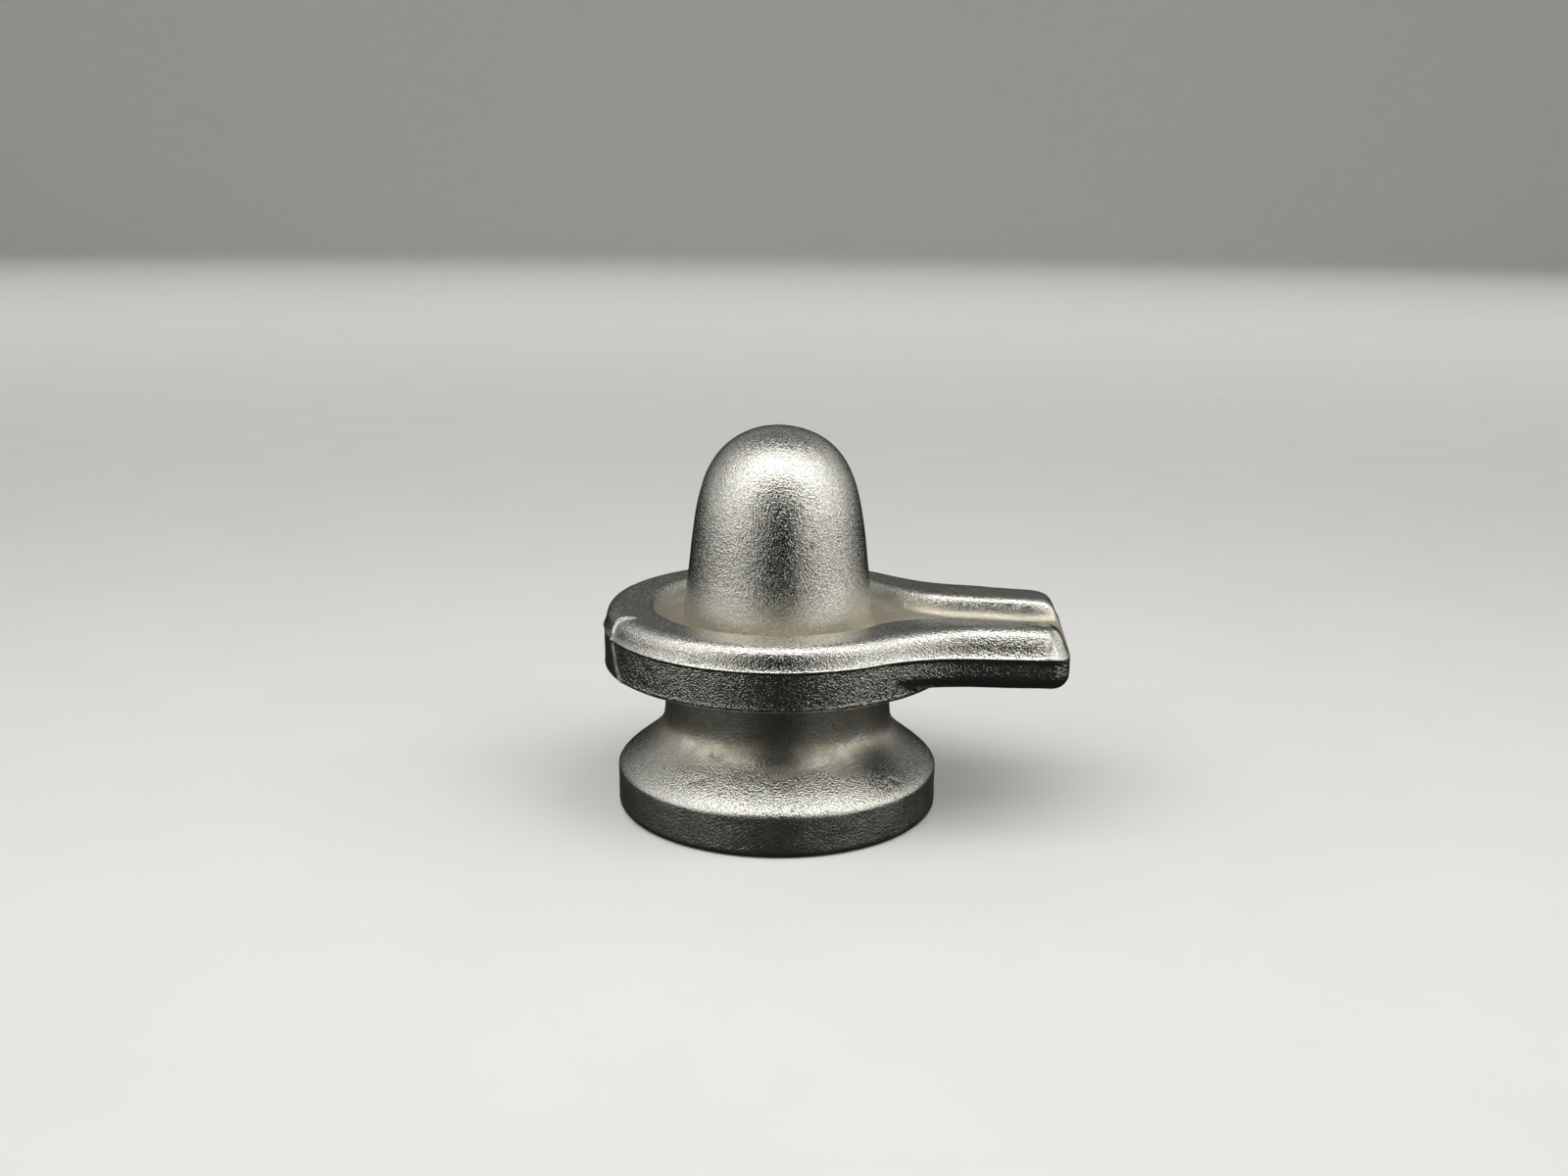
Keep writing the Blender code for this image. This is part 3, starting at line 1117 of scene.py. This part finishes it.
@dataclass(frozen=True)
class CastSkin:
    """The unevenness of the casting, its dents and its tarnish.

    The stain, a brown tint darkened as painted shade under the drum, starts above the
    foot's wall and is full below the neck's foot. The flat grain of the foot's wall ends
    just above the wall's top, and that of the lower tier at the ledge.
    """

    layers: tuple[Lumps, ...] = (
        Lumps(0.030 * MM, 4.2 * MM),
        Lumps(0.014 * MM, 1.3 * MM, 11.0),
        Lumps(0.006 * MM, 0.6 * MM, 23.0),
    )
    crumbs: Lumps = Lumps(1.0, 0.3 * MM, 31.0)
    crust_dirt: float = 0.45
    stain_and_shade_start: float = 0.8 * MM
    stain_and_shade_full: float = 0.6 * MM
    stain_and_shade_top_fade: float = 0.3 * MM
    stain_and_shade_reach: Range = (15.5 * MM, 17.0 * MM)
    wall_below: float = 0.3 * MM
    wall_above: float = 0.5 * MM
    tier_fade: float = 0.4 * MM
    tier_share: float = 0.5
    channel_half_width: float = 4.6 * MM
    basin_margin: float = 0.2 * MM
    tarnish_depths: Range = (0.35 * MM, 1.5 * MM)
    floor_margin: float = 0.6 * MM
    shaft_reach: float = 9.9 * MM
    shaft_rise: Range = (0.8 * MM, 5.2 * MM)
    shaft_tarnish: float = 0.7
    seam: Seam = Seam()
    dents: tuple[Dent, ...] = (
        Dent((11.7, -8.6, 5.5), (12.4, -8.4, 5.2), 0.16 * MM, 0.12 * MM),
        Dent((12.3, -10.1, 4.2), (12.3, -10.1, 4.25), 0.2 * MM, 0.09 * MM),
        Dent((3.8, -7.5, 27.8), (3.75, -7.55, 28.1), 0.16 * MM, 0.06 * MM),
        Dent((-5.3, -10.5, 7.9), (-5.2, -10.5, 8.2), 0.18 * MM, 0.07 * MM),
        Dent((-4.9, -10.7, 7.9), (-4.3, -10.95, 7.95), 0.16 * MM, 0.06 * MM),
        Dent((-7.2, -12.4, 5.7), (-5.7, -12.5, 6.15), 0.16 * MM, 0.035 * MM),
        Dent((13.7, -8.1, 0.15), (14.1, -7.4, 0.15), 0.42 * MM, 0.16 * MM),
        Dent((-10.4, -13.55, 17.6), (-10.2, -13.7, 17.4), 0.18 * MM, -0.05 * MM),
        Dent((-6.5, -15.8, 18.75), (-5.4, -16.1, 18.75), 0.13 * MM, 0.06 * MM),
        Dent((-15.4, 2.1, 20.6), (-15.0, 2.4, 20.6), 0.2 * MM, -0.05 * MM),
        Dent((26.2, -8.5, 19.6), (26.2, -8.9, 18.9), 0.2 * MM, 0.07 * MM),
        Dent((-16.7, -4.1, 18.9), (-16.6, -4.9, 18.2), 0.35 * MM, 0.10 * MM),
        Dent((19.0, 4.3, 20.3), (22.5, 4.3, 20.2), 0.25 * MM, 0.05 * MM),
        Dent((-8.2, -4.05, 21.6), (-8.2, -4.05, 21.65), 0.15 * MM, -0.06 * MM),
    )
    crusts: tuple[Dent, ...] = (
        Dent((6.6, -9.2, 9.1), (9.2, -6.6, 8.9), 0.75 * MM, 0.05 * MM),
        Dent((-5.4, -10.5, 8.0), (-4.4, -10.9, 8.0), 0.4 * MM, 0.03 * MM),
        Dent((6.2, -15.1, 2.1), (8.0, -14.0, 2.6), 0.7 * MM, 0.025 * MM),
        Dent((23.5, 3.2, 18.6), (26.0, 3.2, 18.5), 0.5 * MM, 0.03 * MM),
    )

    def lift(self, points: Array, grounded: Array) -> Array:
        """Return how far each vertex moves along its normal.

        Args:
            points: The vertices, one a row.
            grounded: 0 on the underside, which stays flat, and 1 elsewhere.

        Returns:
            The distances.
        """
        rise = sum(layer.at(points) for layer in self.layers)
        rise += self.seam.lift(points)
        for dent in self.dents:
            rise -= dent.depth * dent.share(points)
        crumbs = self.crumbs.at(points)
        for crust in self.crusts:
            rise += crust.depth * crust.share(points) * crumbs
        return rise * grounded

    def dirt(self, points: Array) -> Array:
        """Tell how much dirt the dents hold.

        Args:
            points: The vertices, one a row.

        Returns:
            The dirt at each vertex, from 0 to 1.
        """
        held = np.zeros(len(points))
        for dent in self.dents:
            if dent.depth > 0:
                held = np.maximum(held, dent.share(points))
        for crust in self.crusts:
            held = np.maximum(held, self.crust_dirt * crust.share(points))
        return held

    def stain(self, points: Array, foot: TurnedFoot) -> Array:
        """Tell how brown the neck and the sweep are, with painted shade under the drum.

        Args:
            points: The vertices, one a row.
            foot: The foot that they belong to.

        Returns:
            The brown stain, darkened as painted shade under the drum, at each vertex, from 0 to 1.
        """
        # Neck and sweep under the drum get a brown tint and painted shade.
        z = points[:, 2]
        under = foot.drum_underside_z
        neck = smooth_step(z, foot.wall + self.stain_and_shade_start, foot.neck_foot_z - self.stain_and_shade_full)
        neck *= 1 - smooth_step(z, under, under + self.stain_and_shade_top_fade)
        return neck * (1 - smooth_step(np.hypot(points[:, 0], points[:, 1]), *self.stain_and_shade_reach))

    def wall(self, points: Array, tray: Tray) -> Array:
        """Tell how flat the grain lies on the walls.

        Args:
            points: The vertices, one a row.
            tray: The tray over the foot.

        Returns:
            1 on the foot's wall, less on the drum and the lower tier, and 0 elsewhere.
        """
        z = points[:, 2]
        foot = tray.foot
        low = 1 - smooth_step(z, foot.wall - self.wall_below, foot.wall + self.wall_above)
        tier = smooth_step(z, foot.drum_underside_z, foot.lip_top_z)
        level = z + tray.settle(points[:, 0], z)
        tier *= 1 - smooth_step(level, tray.ledge_z - self.tier_fade, tray.ledge_z)
        return np.maximum(low, self.tier_share * tier)

    def tarnish(self, points: Array, tray: Tray) -> Array:
        """Tell how much tarnish lies in basin and channel and on the shaft's foot.

        Args:
            points: The vertices, one a row.
            tray: The tray that holds the basin.

        Returns:
            The tarnish at each vertex, from 0 to 1.
        """
        reach = np.hypot(points[:, 0], points[:, 1])
        z = points[:, 2]
        sunk = tray.top_z - z - tray.settle(points[:, 0], z)
        in_channel = (np.abs(points[:, 1]) < self.channel_half_width) & (points[:, 0] > 0)
        inside = in_channel | (reach < tray.basin_radius + self.basin_margin)
        inside &= z > tray.floor_z - self.floor_margin
        rise = z - tray.floor_z
        shaft = (reach < self.shaft_reach) * (rise > 0) * (1 - smooth_step(rise, *self.shaft_rise))
        basin = smooth_step(sunk, *self.tarnish_depths) * inside
        return np.maximum(basin, self.shaft_tarnish * shaft)


@dataclass
class Casting:
    """The whole casting as one closed mesh."""

    foot: TurnedFoot
    tray: Tray
    shaft: Shaft
    skin: CastSkin
    name: str = "shiva_lingam_casting"
    edge_softness: float = 0.25
    tip_softness: float = 0.5
    tip_passes: int = 16
    tip_reach: Range = (3.4 * MM, 1.4 * MM)
    tip_depth: Range = (1.2 * MM, 0.1 * MM)
    ground_fade: float = 0.5 * MM

    def build_grid(self) -> Grid:
        """Lay out the casting before its skin is roughened.

        Returns:
            The closed mesh.
        """
        grid = Grid()
        tray = self.tray
        centre = grid.row(np.array([(0.0, 0.0, 0.0)]))[0]
        rows = []
        for radius, height in self.foot.profile():
            level = np.full(tray.columns.count, height)
            rows.append(grid.row(np.column_stack([tray.direction * radius, level])))
        grid.fan(centre, rows[0], True)
        rows += [grid.row(points) for points in tray.lower_side()]
        rows += [grid.row(points) for points in tray.upper_rows()]
        for lower, upper in zip(rows, rows[1:]):
            grid.strip(lower, upper)
        loop = tray.build_trough(grid, rows[-1])
        self.shaft.build(grid, loop, tray.floor_z, tray.floor_rows)
        return grid

    def roughen(self, grid: Grid) -> Array:
        """Return the vertices with soft edges and the cast skin.

        Args:
            grid: The mesh as built.

        Returns:
            The moved vertices, one a row.
        """
        points = grid.points
        edges = grid.edges()
        tray = self.tray
        raised = smooth_step(points[:, 2], 0.0, self.ground_fade)
        points = soften(points, edges, self.edge_softness * raised, 1)
        tip = smooth_step(points[:, 0], *(tray.spout_reach - back for back in self.tip_reach))
        tip *= smooth_step(points[:, 2], *(tray.ledge_z - below for below in self.tip_depth))
        points = soften(points, edges, self.tip_softness * tip, self.tip_passes)
        lift = self.skin.lift(points, raised)
        return points + lift[:, None] * grid.normals(points)

    def build(self, material: bpy.types.Material) -> bpy.types.Object:
        """Build the casting and dress it.

        Args:
            material: Its metal.

        Returns:
            The object in the scene.
        """
        grid = self.build_grid()
        points = self.roughen(grid)
        mesh = bpy.data.meshes.new(self.name)
        mesh.from_pydata(points.tolist(), [], grid.polygons)
        mesh.shade_smooth()
        seam = self.skin.seam
        for mask, values in (
            (Mask.TARNISH, self.skin.tarnish(points, self.tray)),
            # Brown stain with painted shade under the drum.
            (Mask.STAIN, self.skin.stain(points, self.foot)),
            (Mask.SEAM, seam.ridge(points)),
            (Mask.FILED, seam.patch(points)),
            (Mask.DIRT, self.skin.dirt(points)),
            (Mask.WALL, self.skin.wall(points, self.tray)),
        ):
            layer = mesh.attributes.new(mask.value, "FLOAT", "POINT")
            layer.data.foreach_set("value", values.astype(np.float32))
        mesh.materials.append(material)
        item = bpy.data.objects.new(self.name, mesh)
        bpy.context.scene.collection.objects.link(item)
        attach(item, "root")
        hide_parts("shiva_lingam")
        return item


class NodeSheet:
    """A material's node tree with short calls for the nodes that the finishes use."""

    def __init__(self, name: str) -> None:
        """Start a material with a Principled shader.

        Args:
            name: The material's name.
        """
        self.material = bpy.data.materials.new(name)
        self.material.use_nodes = True
        self.tree = self.material.node_tree
        self.shader = self.tree.nodes["Principled BSDF"]
        place = self.tree.nodes.new("ShaderNodeTexCoord")
        self.place = place.outputs["Object"]

    def link(self, value: Socket | float | Colour, socket: Socket) -> None:
        """Feed a socket from another socket or set its constant.

        Args:
            value: The other socket, or the constant.
            socket: The socket to feed or set.
        """
        if isinstance(value, Socket):
            self.tree.links.new(value, socket)
        elif isinstance(value, tuple) and len(socket.default_value) == 4:
            socket.default_value = (*value, 1.0)
        else:
            socket.default_value = value

    def noise(self, span: float, detail: float = 2.0) -> Socket:
        """Add smooth noise that stays with the object.

        Args:
            span: About how wide its lumps are.
            detail: How many finer layers it has.

        Returns:
            The noise, from 0 to 1.
        """
        node = self.tree.nodes.new("ShaderNodeTexNoise")
        node.inputs["Scale"].default_value = 1 / span
        node.inputs["Detail"].default_value = detail
        self.link(self.place, node.inputs["Vector"])
        return node.outputs["Fac"]

    def attribute(self, mask: Mask) -> Socket:
        """Add one of the mesh's masks.

        Args:
            mask: Which one.

        Returns:
            The mask, from 0 to 1.
        """
        node = self.tree.nodes.new("ShaderNodeAttribute")
        node.attribute_name = mask.value
        return node.outputs["Fac"]

    def maths(self, operation: str, *values: Socket | float) -> Socket:
        """Add a maths node.

        Args:
            operation: The node's operation.
            values: What it works on, in order.

        Returns:
            The result.
        """
        node = self.tree.nodes.new("ShaderNodeMath")
        node.operation = operation
        for value, socket in zip(values, node.inputs):
            self.link(value, socket)
        return node.outputs["Value"]

    def ramp(self, value: Socket, low: float, high: float, start: float = 0.0, end: float = 1.0) -> Socket:
        """Add a soft rise or fall.

        Args:
            value: What drives it.
            low: The value where it begins.
            high: The value where it ends.
            start: The result at low.
            end: The result at high.

        Returns:
            The result.
        """
        node = self.tree.nodes.new("ShaderNodeMapRange")
        node.interpolation_type = "SMOOTHSTEP"
        for name, number in (("From Min", low), ("From Max", high), ("To Min", start), ("To Max", end)):
            node.inputs[name].default_value = number
        self.link(value, node.inputs["Value"])
        return node.outputs["Result"]

    def blend(self, share: Socket, first: Socket | Colour, second: Socket | Colour) -> Socket:
        """Mix two colours.

        Args:
            share: How much of the second colour there is.
            first: The first colour.
            second: The second colour.

        Returns:
            The colour between them.
        """
        node = self.tree.nodes.new("ShaderNodeMix")
        node.data_type = "RGBA"
        self.link(share, node.inputs["Factor"])
        colours = [socket for socket in node.inputs if socket.type == "RGBA"]
        self.link(first, colours[0])
        self.link(second, colours[1])
        return next(socket for socket in node.outputs if socket.type == "RGBA")


@dataclass(frozen=True)
class MetalLayers:
    """The masks and noises that the metal's colour, gloss and grain share."""

    masks: dict[Mask, Socket]
    patches: Socket
    crumbs: Socket
    grain: Socket
    fine: Socket
    dulled: Socket
    # Brown stain with painted shade under the drum, made patchy and speckled.
    browned_and_shaded: Socket
    golden: Socket
    bright: Socket


@dataclass(frozen=True)
class CastWhiteMetal:
    """Satin as-cast white metal, with tarnish in the hollows and a brown stain on neck and sweep darkened
    as painted shade under the drum.
    """

    clean: Colour = (0.72, 0.71, 0.64)
    worn: Colour = (0.56, 0.55, 0.49)
    # Dark brown of neck and sweep: a real brown tint darkened as painted shade under the drum.
    stain: Colour = (0.37, 0.345, 0.255)
    tarnish: Colour = (0.465, 0.415, 0.31)
    dirt: Colour = (0.10, 0.085, 0.06)
    crumb: Colour = (0.60, 0.52, 0.35)
    filed: Colour = (0.86, 0.84, 0.76)
    roughness: float = 0.15
    patch_span: float = 2.6 * MM
    patch_range: Range = (0.3, 0.7)
    speckle_span: float = 0.5 * MM
    crumb_span: float = 0.28 * MM
    grain_span: float = 0.19 * MM
    fine_span: float = 0.095 * MM
    fine_share: float = 0.35
    grain_height: float = 0.059 * MM
    seam_height: float = 1.6
    clean_range: Range = (0.36, 0.64)
    mottle_range: Range = (0.25, 0.6)
    mottle_least: float = 0.7
    stain_and_shade_patchiness: float = 0.6
    seam_dirt_range: Range = (0.47, 0.55)
    dent_dirt_range: Range = (0.30, 0.55)
    golden_range: Range = (0.48, 0.42)
    filed_range: Range = (0.2, 0.6)
    bright_range: Range = (0.38, 0.48)
    tarnish_cover: float = 0.85
    dirt_cover: float = 0.85
    tarnish_matt: float = 0.45
    golden_matt: float = 0.8
    bright_matt: float = 0.75
    patch_rough: float = 0.05
    tarnish_rough: float = 0.16
    seam_rough: float = 0.2
    wall_rough: float = 0.13
    stain_and_shade_rough: float = 0.20
    tarnish_calm: float = 0.55
    stain_and_shade_calm: float = 0.65
    wall_calm: float = 0.22

    def lay_out(self, sheet: NodeSheet) -> MetalLayers:
        """Add the masks and noises.

        Args:
            sheet: The material's node tree.

        Returns:
            The layers that colour, gloss and grain are made of.
        """
        masks = {mask: sheet.attribute(mask) for mask in Mask}
        patches = sheet.ramp(sheet.noise(self.patch_span, detail=3.0), *self.patch_range)
        mottle = sheet.ramp(sheet.noise(self.speckle_span), *self.mottle_range, self.mottle_least, 1.0)
        crumbs = sheet.noise(self.crumb_span)
        # The stain mask, brown tint and painted shade under the drum, made patchy.
        uneven = sheet.maths("MULTIPLY_ADD", patches, self.stain_and_shade_patchiness, 1 - self.stain_and_shade_patchiness)
        patched_stain_and_shade = sheet.maths("MULTIPLY", masks[Mask.STAIN], uneven)
        filed = sheet.ramp(masks[Mask.FILED], *self.filed_range)
        return MetalLayers(
            masks=masks,
            patches=patches,
            crumbs=crumbs,
            grain=sheet.noise(self.grain_span, detail=1.0),
            fine=sheet.noise(self.fine_span, detail=0.0),
            dulled=sheet.maths("MULTIPLY", masks[Mask.TARNISH], mottle),
            browned_and_shaded=sheet.maths("MULTIPLY", patched_stain_and_shade, mottle),
            golden=sheet.maths("MULTIPLY", masks[Mask.SEAM], sheet.ramp(crumbs, *self.golden_range)),
            bright=sheet.maths("MULTIPLY", filed, sheet.ramp(crumbs, *self.bright_range)),
        )

    def paint(self, sheet: NodeSheet, layers: MetalLayers) -> None:
        """Set the colour, with stain and painted shade under the drum, tarnish and dirt over the metal.

        Args:
            sheet: The material's node tree.
            layers: Its masks and noises.
        """
        seam_crumbs = sheet.ramp(layers.crumbs, *self.seam_dirt_range)
        dent_crumbs = sheet.ramp(layers.crumbs, *self.dent_dirt_range)
        seam_dirt = sheet.maths("MULTIPLY", layers.masks[Mask.SEAM], seam_crumbs)
        dent_dirt = sheet.maths("MULTIPLY", layers.masks[Mask.DIRT], dent_crumbs)
        dirt = sheet.maths("MAXIMUM", seam_dirt, dent_dirt)
        colour = sheet.blend(sheet.ramp(layers.grain, *self.clean_range), self.worn, self.clean)
        for share, over in (
            # Brown stain darkened as painted shade on neck and sweep under the drum.
            (layers.browned_and_shaded, self.stain),
            (sheet.maths("MULTIPLY", layers.dulled, self.tarnish_cover), self.tarnish),
            (sheet.maths("MULTIPLY", dirt, self.dirt_cover), self.dirt),
            (layers.golden, self.crumb),
            (layers.bright, self.filed),
        ):
            colour = sheet.blend(share, colour, over)
        sheet.link(colour, sheet.shader.inputs["Base Color"])

    def set_gloss(self, sheet: NodeSheet, layers: MetalLayers) -> None:
        """Set how metallic and how rough the skin is.

        Args:
            sheet: The material's node tree.
            layers: Its masks and noises.
        """
        matt = sheet.maths("MULTIPLY", layers.dulled, self.tarnish_matt)
        for share, most in ((layers.golden, self.golden_matt), (layers.bright, self.bright_matt)):
            matt = sheet.maths("MAXIMUM", matt, sheet.maths("MULTIPLY", share, most))
        sheet.link(sheet.maths("SUBTRACT", 1.0, matt), sheet.shader.inputs["Metallic"])
        rough = sheet.maths("MULTIPLY_ADD", layers.patches, self.patch_rough, self.roughness)
        for share, gain in (
            (layers.dulled, self.tarnish_rough),
            (layers.masks[Mask.SEAM], self.seam_rough),
            (layers.masks[Mask.WALL], self.wall_rough),
            (layers.masks[Mask.STAIN], self.stain_and_shade_rough),
        ):
            rough = sheet.maths("MULTIPLY_ADD", share, gain, rough)
        sheet.link(rough, sheet.shader.inputs["Roughness"])

    def raise_grain(self, sheet: NodeSheet, layers: MetalLayers) -> None:
        """Raise the grain and the seam's crumbs, calmer on tarnish, on the stain and painted shade of neck
        and sweep, and on walls.

        Args:
            sheet: The material's node tree.
            layers: Its masks and noises.
        """
        masks = layers.masks
        calm = sheet.maths("MULTIPLY_ADD", masks[Mask.TARNISH], -self.tarnish_calm, 1.0)
        for mask, loss in ((Mask.STAIN, self.stain_and_shade_calm), (Mask.WALL, self.wall_calm)):
            calm = sheet.maths("MULTIPLY", calm, sheet.maths("MULTIPLY_ADD", masks[mask], -loss, 1.0))
        mixed = sheet.maths("MULTIPLY_ADD", layers.fine, self.fine_share, layers.grain)
        height = sheet.maths("MULTIPLY", mixed, calm)
        ridge = sheet.maths("MULTIPLY", masks[Mask.SEAM], layers.crumbs)
        height = sheet.maths("MULTIPLY_ADD", ridge, self.seam_height, height)
        bump = sheet.tree.nodes.new("ShaderNodeBump")
        bump.inputs["Distance"].default_value = self.grain_height
        bump.inputs["Strength"].default_value = 1.0
        sheet.link(height, bump.inputs["Height"])
        sheet.link(bump.outputs["Normal"], sheet.shader.inputs["Normal"])

    def build(self) -> bpy.types.Material:
        """Build the metal.

        Returns:
            Its material.
        """
        sheet = NodeSheet("cast_white_metal")
        layers = self.lay_out(sheet)
        self.paint(sheet, layers)
        self.set_gloss(sheet, layers)
        self.raise_grain(sheet, layers)
        return sheet.material


@dataclass(frozen=True)
class PaleFloor:
    """Matt pale studio paper."""

    paper: Colour = (0.80, 0.79, 0.77)
    shade: Colour = (0.785, 0.775, 0.755)
    roughness: float = 0.9
    mottle_span: float = 18 * MM
    mottle_range: Range = (0.3, 0.7)

    def build(self) -> bpy.types.Material:
        """Build the paper.

        Returns:
            Its material.
        """
        sheet = NodeSheet("pale_floor")
        mottle = sheet.ramp(sheet.noise(self.mottle_span, detail=3.0), *self.mottle_range)
        sheet.link(sheet.blend(mottle, self.paper, self.shade), sheet.shader.inputs["Base Color"])
        sheet.shader.inputs["Roughness"].default_value = self.roughness
        return sheet.material


@dataclass(frozen=True)
class Softbox:
    """A flat soft light that faces the object.

    Azimuth 0 is the camera's side and 90 is to its right. Elevation is above the horizon.
    Its half width and half height are angles as seen from the object.
    """

    name: str
    azimuth: float
    elevation: float
    half_across: float
    half_up: float
    radiance: float
    distance: float = 1.1
    aim_height: float = 0.02
    aim_behind: float = 0.0

    def build(self, camera_turn: float) -> bpy.types.Object:
        """Return the light, hung round the object.

        Args:
            camera_turn: The camera's own azimuth in the row frame.

        Returns:
            The light's object.
        """
        turn = math.radians(self.azimuth + camera_turn)
        rise = math.radians(self.elevation)
        back = Vector((math.sin(turn) * math.cos(rise), -math.cos(turn) * math.cos(rise), math.sin(rise)))
        lamp = bpy.data.lights.new(self.name, "AREA")
        lamp.shape = "RECTANGLE"
        lamp.size = 2 * self.distance * math.tan(math.radians(self.half_across))
        lamp.size_y = 2 * self.distance * math.tan(math.radians(self.half_up))
        lamp.energy = self.radiance * math.pi * lamp.size * lamp.size_y
        item = bpy.data.objects.new(self.name, lamp)
        away = math.radians(camera_turn)
        aim = Vector((-math.sin(away), math.cos(away), 0.0)) * self.aim_behind
        item.location = aim + Vector((0.0, 0.0, self.aim_height)) + back * self.distance
        item.rotation_euler = back.to_track_quat("Z", "Y").to_euler()
        item.visible_camera = False
        bpy.context.scene.collection.objects.link(item)
        return item


@dataclass
class Studio:
    """Camera, pale floor and soft light.

    The camera's pitch and roll are in radians.
    """

    azimuth: float = 5.0
    pitch: float = 0.24887
    roll: float = 0.00904
    distance: float = 0.15533
    aim_height: float = 0.02190
    aim_across: float = 0.000557
    lens: float = 36.0
    sensor: float = 36.0
    floor_radius: float = 1.4
    backdrop_bend: float = 0.7
    backdrop_height: float = 2.4
    floor_steps: int = 96
    floor_rings: tuple[float, ...] = (0.05, 0.3, 1.0)
    bend_steps: int = 12
    room: Colour = (1.0, 0.98, 0.95)
    room_strength: float = 0.012
    lights: tuple[Softbox, ...] = (
        Softbox("overhead_box", 0.0, 68.0, 43.0, 22.5, 2.4, 0.17, 0.034),
        Softbox("left_upper_box", -66.0, 33.0, 27.0, 18.5, 1.12),
        Softbox("right_upper_box", 70.0, 33.0, 27.0, 18.5, 1.20),
        Softbox("left_lower_box", -63.0, 6.5, 38.0, 8.0, 1.22),
        Softbox("right_lower_box", 67.0, 6.5, 38.0, 8.0, 1.38),
        Softbox("left_far_box", -117.0, 24.0, 24.0, 24.0, 0.40),
        Softbox("right_far_box", 119.0, 24.0, 24.0, 24.0, 0.46),
        Softbox("back_box", 180.0, 24.0, 30.0, 14.0, 0.16),
        Softbox("backdrop_box", 0.0, 50.0, 34.0, 24.0, 1.2, 0.9, 0.0, 1.2),
    )

    def build_camera(self) -> bpy.types.Object:
        """Set the camera where the photograph was taken from.

        Returns:
            The camera.
        """
        back = Vector((0.0, -math.cos(self.pitch), math.sin(self.pitch)))
        right = (-back).cross(Vector((0.0, 0.0, 1.0))).normalized()
        up = right.cross(-back)
        cos, sin = math.cos(self.roll), math.sin(self.roll)
        turn = Matrix.Rotation(math.radians(self.azimuth), 3, "Z")
        axes = Matrix((turn @ (cos * right + sin * up), turn @ (cos * up - sin * right), turn @ back))
        place = turn @ (Vector((self.aim_across, 0.0, self.aim_height)) + self.distance * back)
        data = bpy.data.cameras.new("photo_camera")
        data.lens = self.lens
        data.sensor_width = self.sensor
        data.clip_start = 1.0 * MM
        camera = bpy.data.objects.new("photo_camera", data)
        camera.matrix_world = Matrix.Translation(place) @ axes.transposed().to_4x4()
        bpy.context.scene.collection.objects.link(camera)
        bpy.context.scene.camera = camera
        return camera

    def build_floor(self) -> bpy.types.Object:
        """Lay the pale floor, whose edge curves up into a backdrop all round.

        Returns:
            The floor.
        """
        flat = [(share * self.floor_radius, 0.0) for share in self.floor_rings]
        centre = (self.floor_radius, self.backdrop_bend)
        bend = arc_points(centre, self.backdrop_bend, -90, 0, self.bend_steps)[1:]
        top = (self.floor_radius + self.backdrop_bend, self.backdrop_height)
        grid = Grid()
        middle = grid.row(np.array([(0.0, 0.0, 0.0)]))[0]
        turn = np.linspace(0, 2 * math.pi, self.floor_steps + 1)[:-1]
        rows = []
        for radius, height in [*flat, *bend.tolist(), top]:
            ring = [radius * np.cos(turn), radius * np.sin(turn), np.full(len(turn), height)]
            rows.append(grid.row(np.stack(ring, 1)))
        grid.fan(middle, rows[0], False)
        for lower, upper in zip(rows, rows[1:]):
            grid.strip(upper, lower)
        mesh = bpy.data.meshes.new("studio_floor")
        mesh.from_pydata(grid.points.tolist(), [], grid.polygons)
        mesh.shade_smooth()
        mesh.materials.append(PaleFloor().build())
        item = bpy.data.objects.new("studio_floor", mesh)
        item.visible_glossy = False
        bpy.context.scene.collection.objects.link(item)
        return item

    def build_light(self) -> None:
        """Hang the softboxes and set the dim fill of the room."""
        for box in self.lights:
            box.build(self.azimuth)
        world = bpy.data.worlds.new("dim_room")
        world.use_nodes = True
        background = world.node_tree.nodes["Background"]
        background.inputs["Color"].default_value = (*self.room, 1.0)
        background.inputs["Strength"].default_value = self.room_strength
        bpy.context.scene.world = world
        bpy.context.scene.view_settings.view_transform = "Standard"


def main() -> None:
    """Build the casting and the studio, and report each piece."""
    logging.basicConfig(level=logging.INFO, format="%(name)s: %(message)s")
    foot = TurnedFoot()
    skin = CastSkin()
    casting = Casting(foot, Tray(foot), Shaft(), skin).build(CastWhiteMetal().build())
    mesh = casting.data
    LOG.info("%s: %d vertices, %d faces", casting.name, len(mesh.vertices), len(mesh.polygons))
    studio = Studio()
    LOG.info("%s is set", studio.build_camera().name)
    LOG.info("%s is laid", studio.build_floor().name)
    studio.build_light()
    LOG.info("%d softboxes are hung", len(studio.lights))


if __name__ == "__main__":
    main()
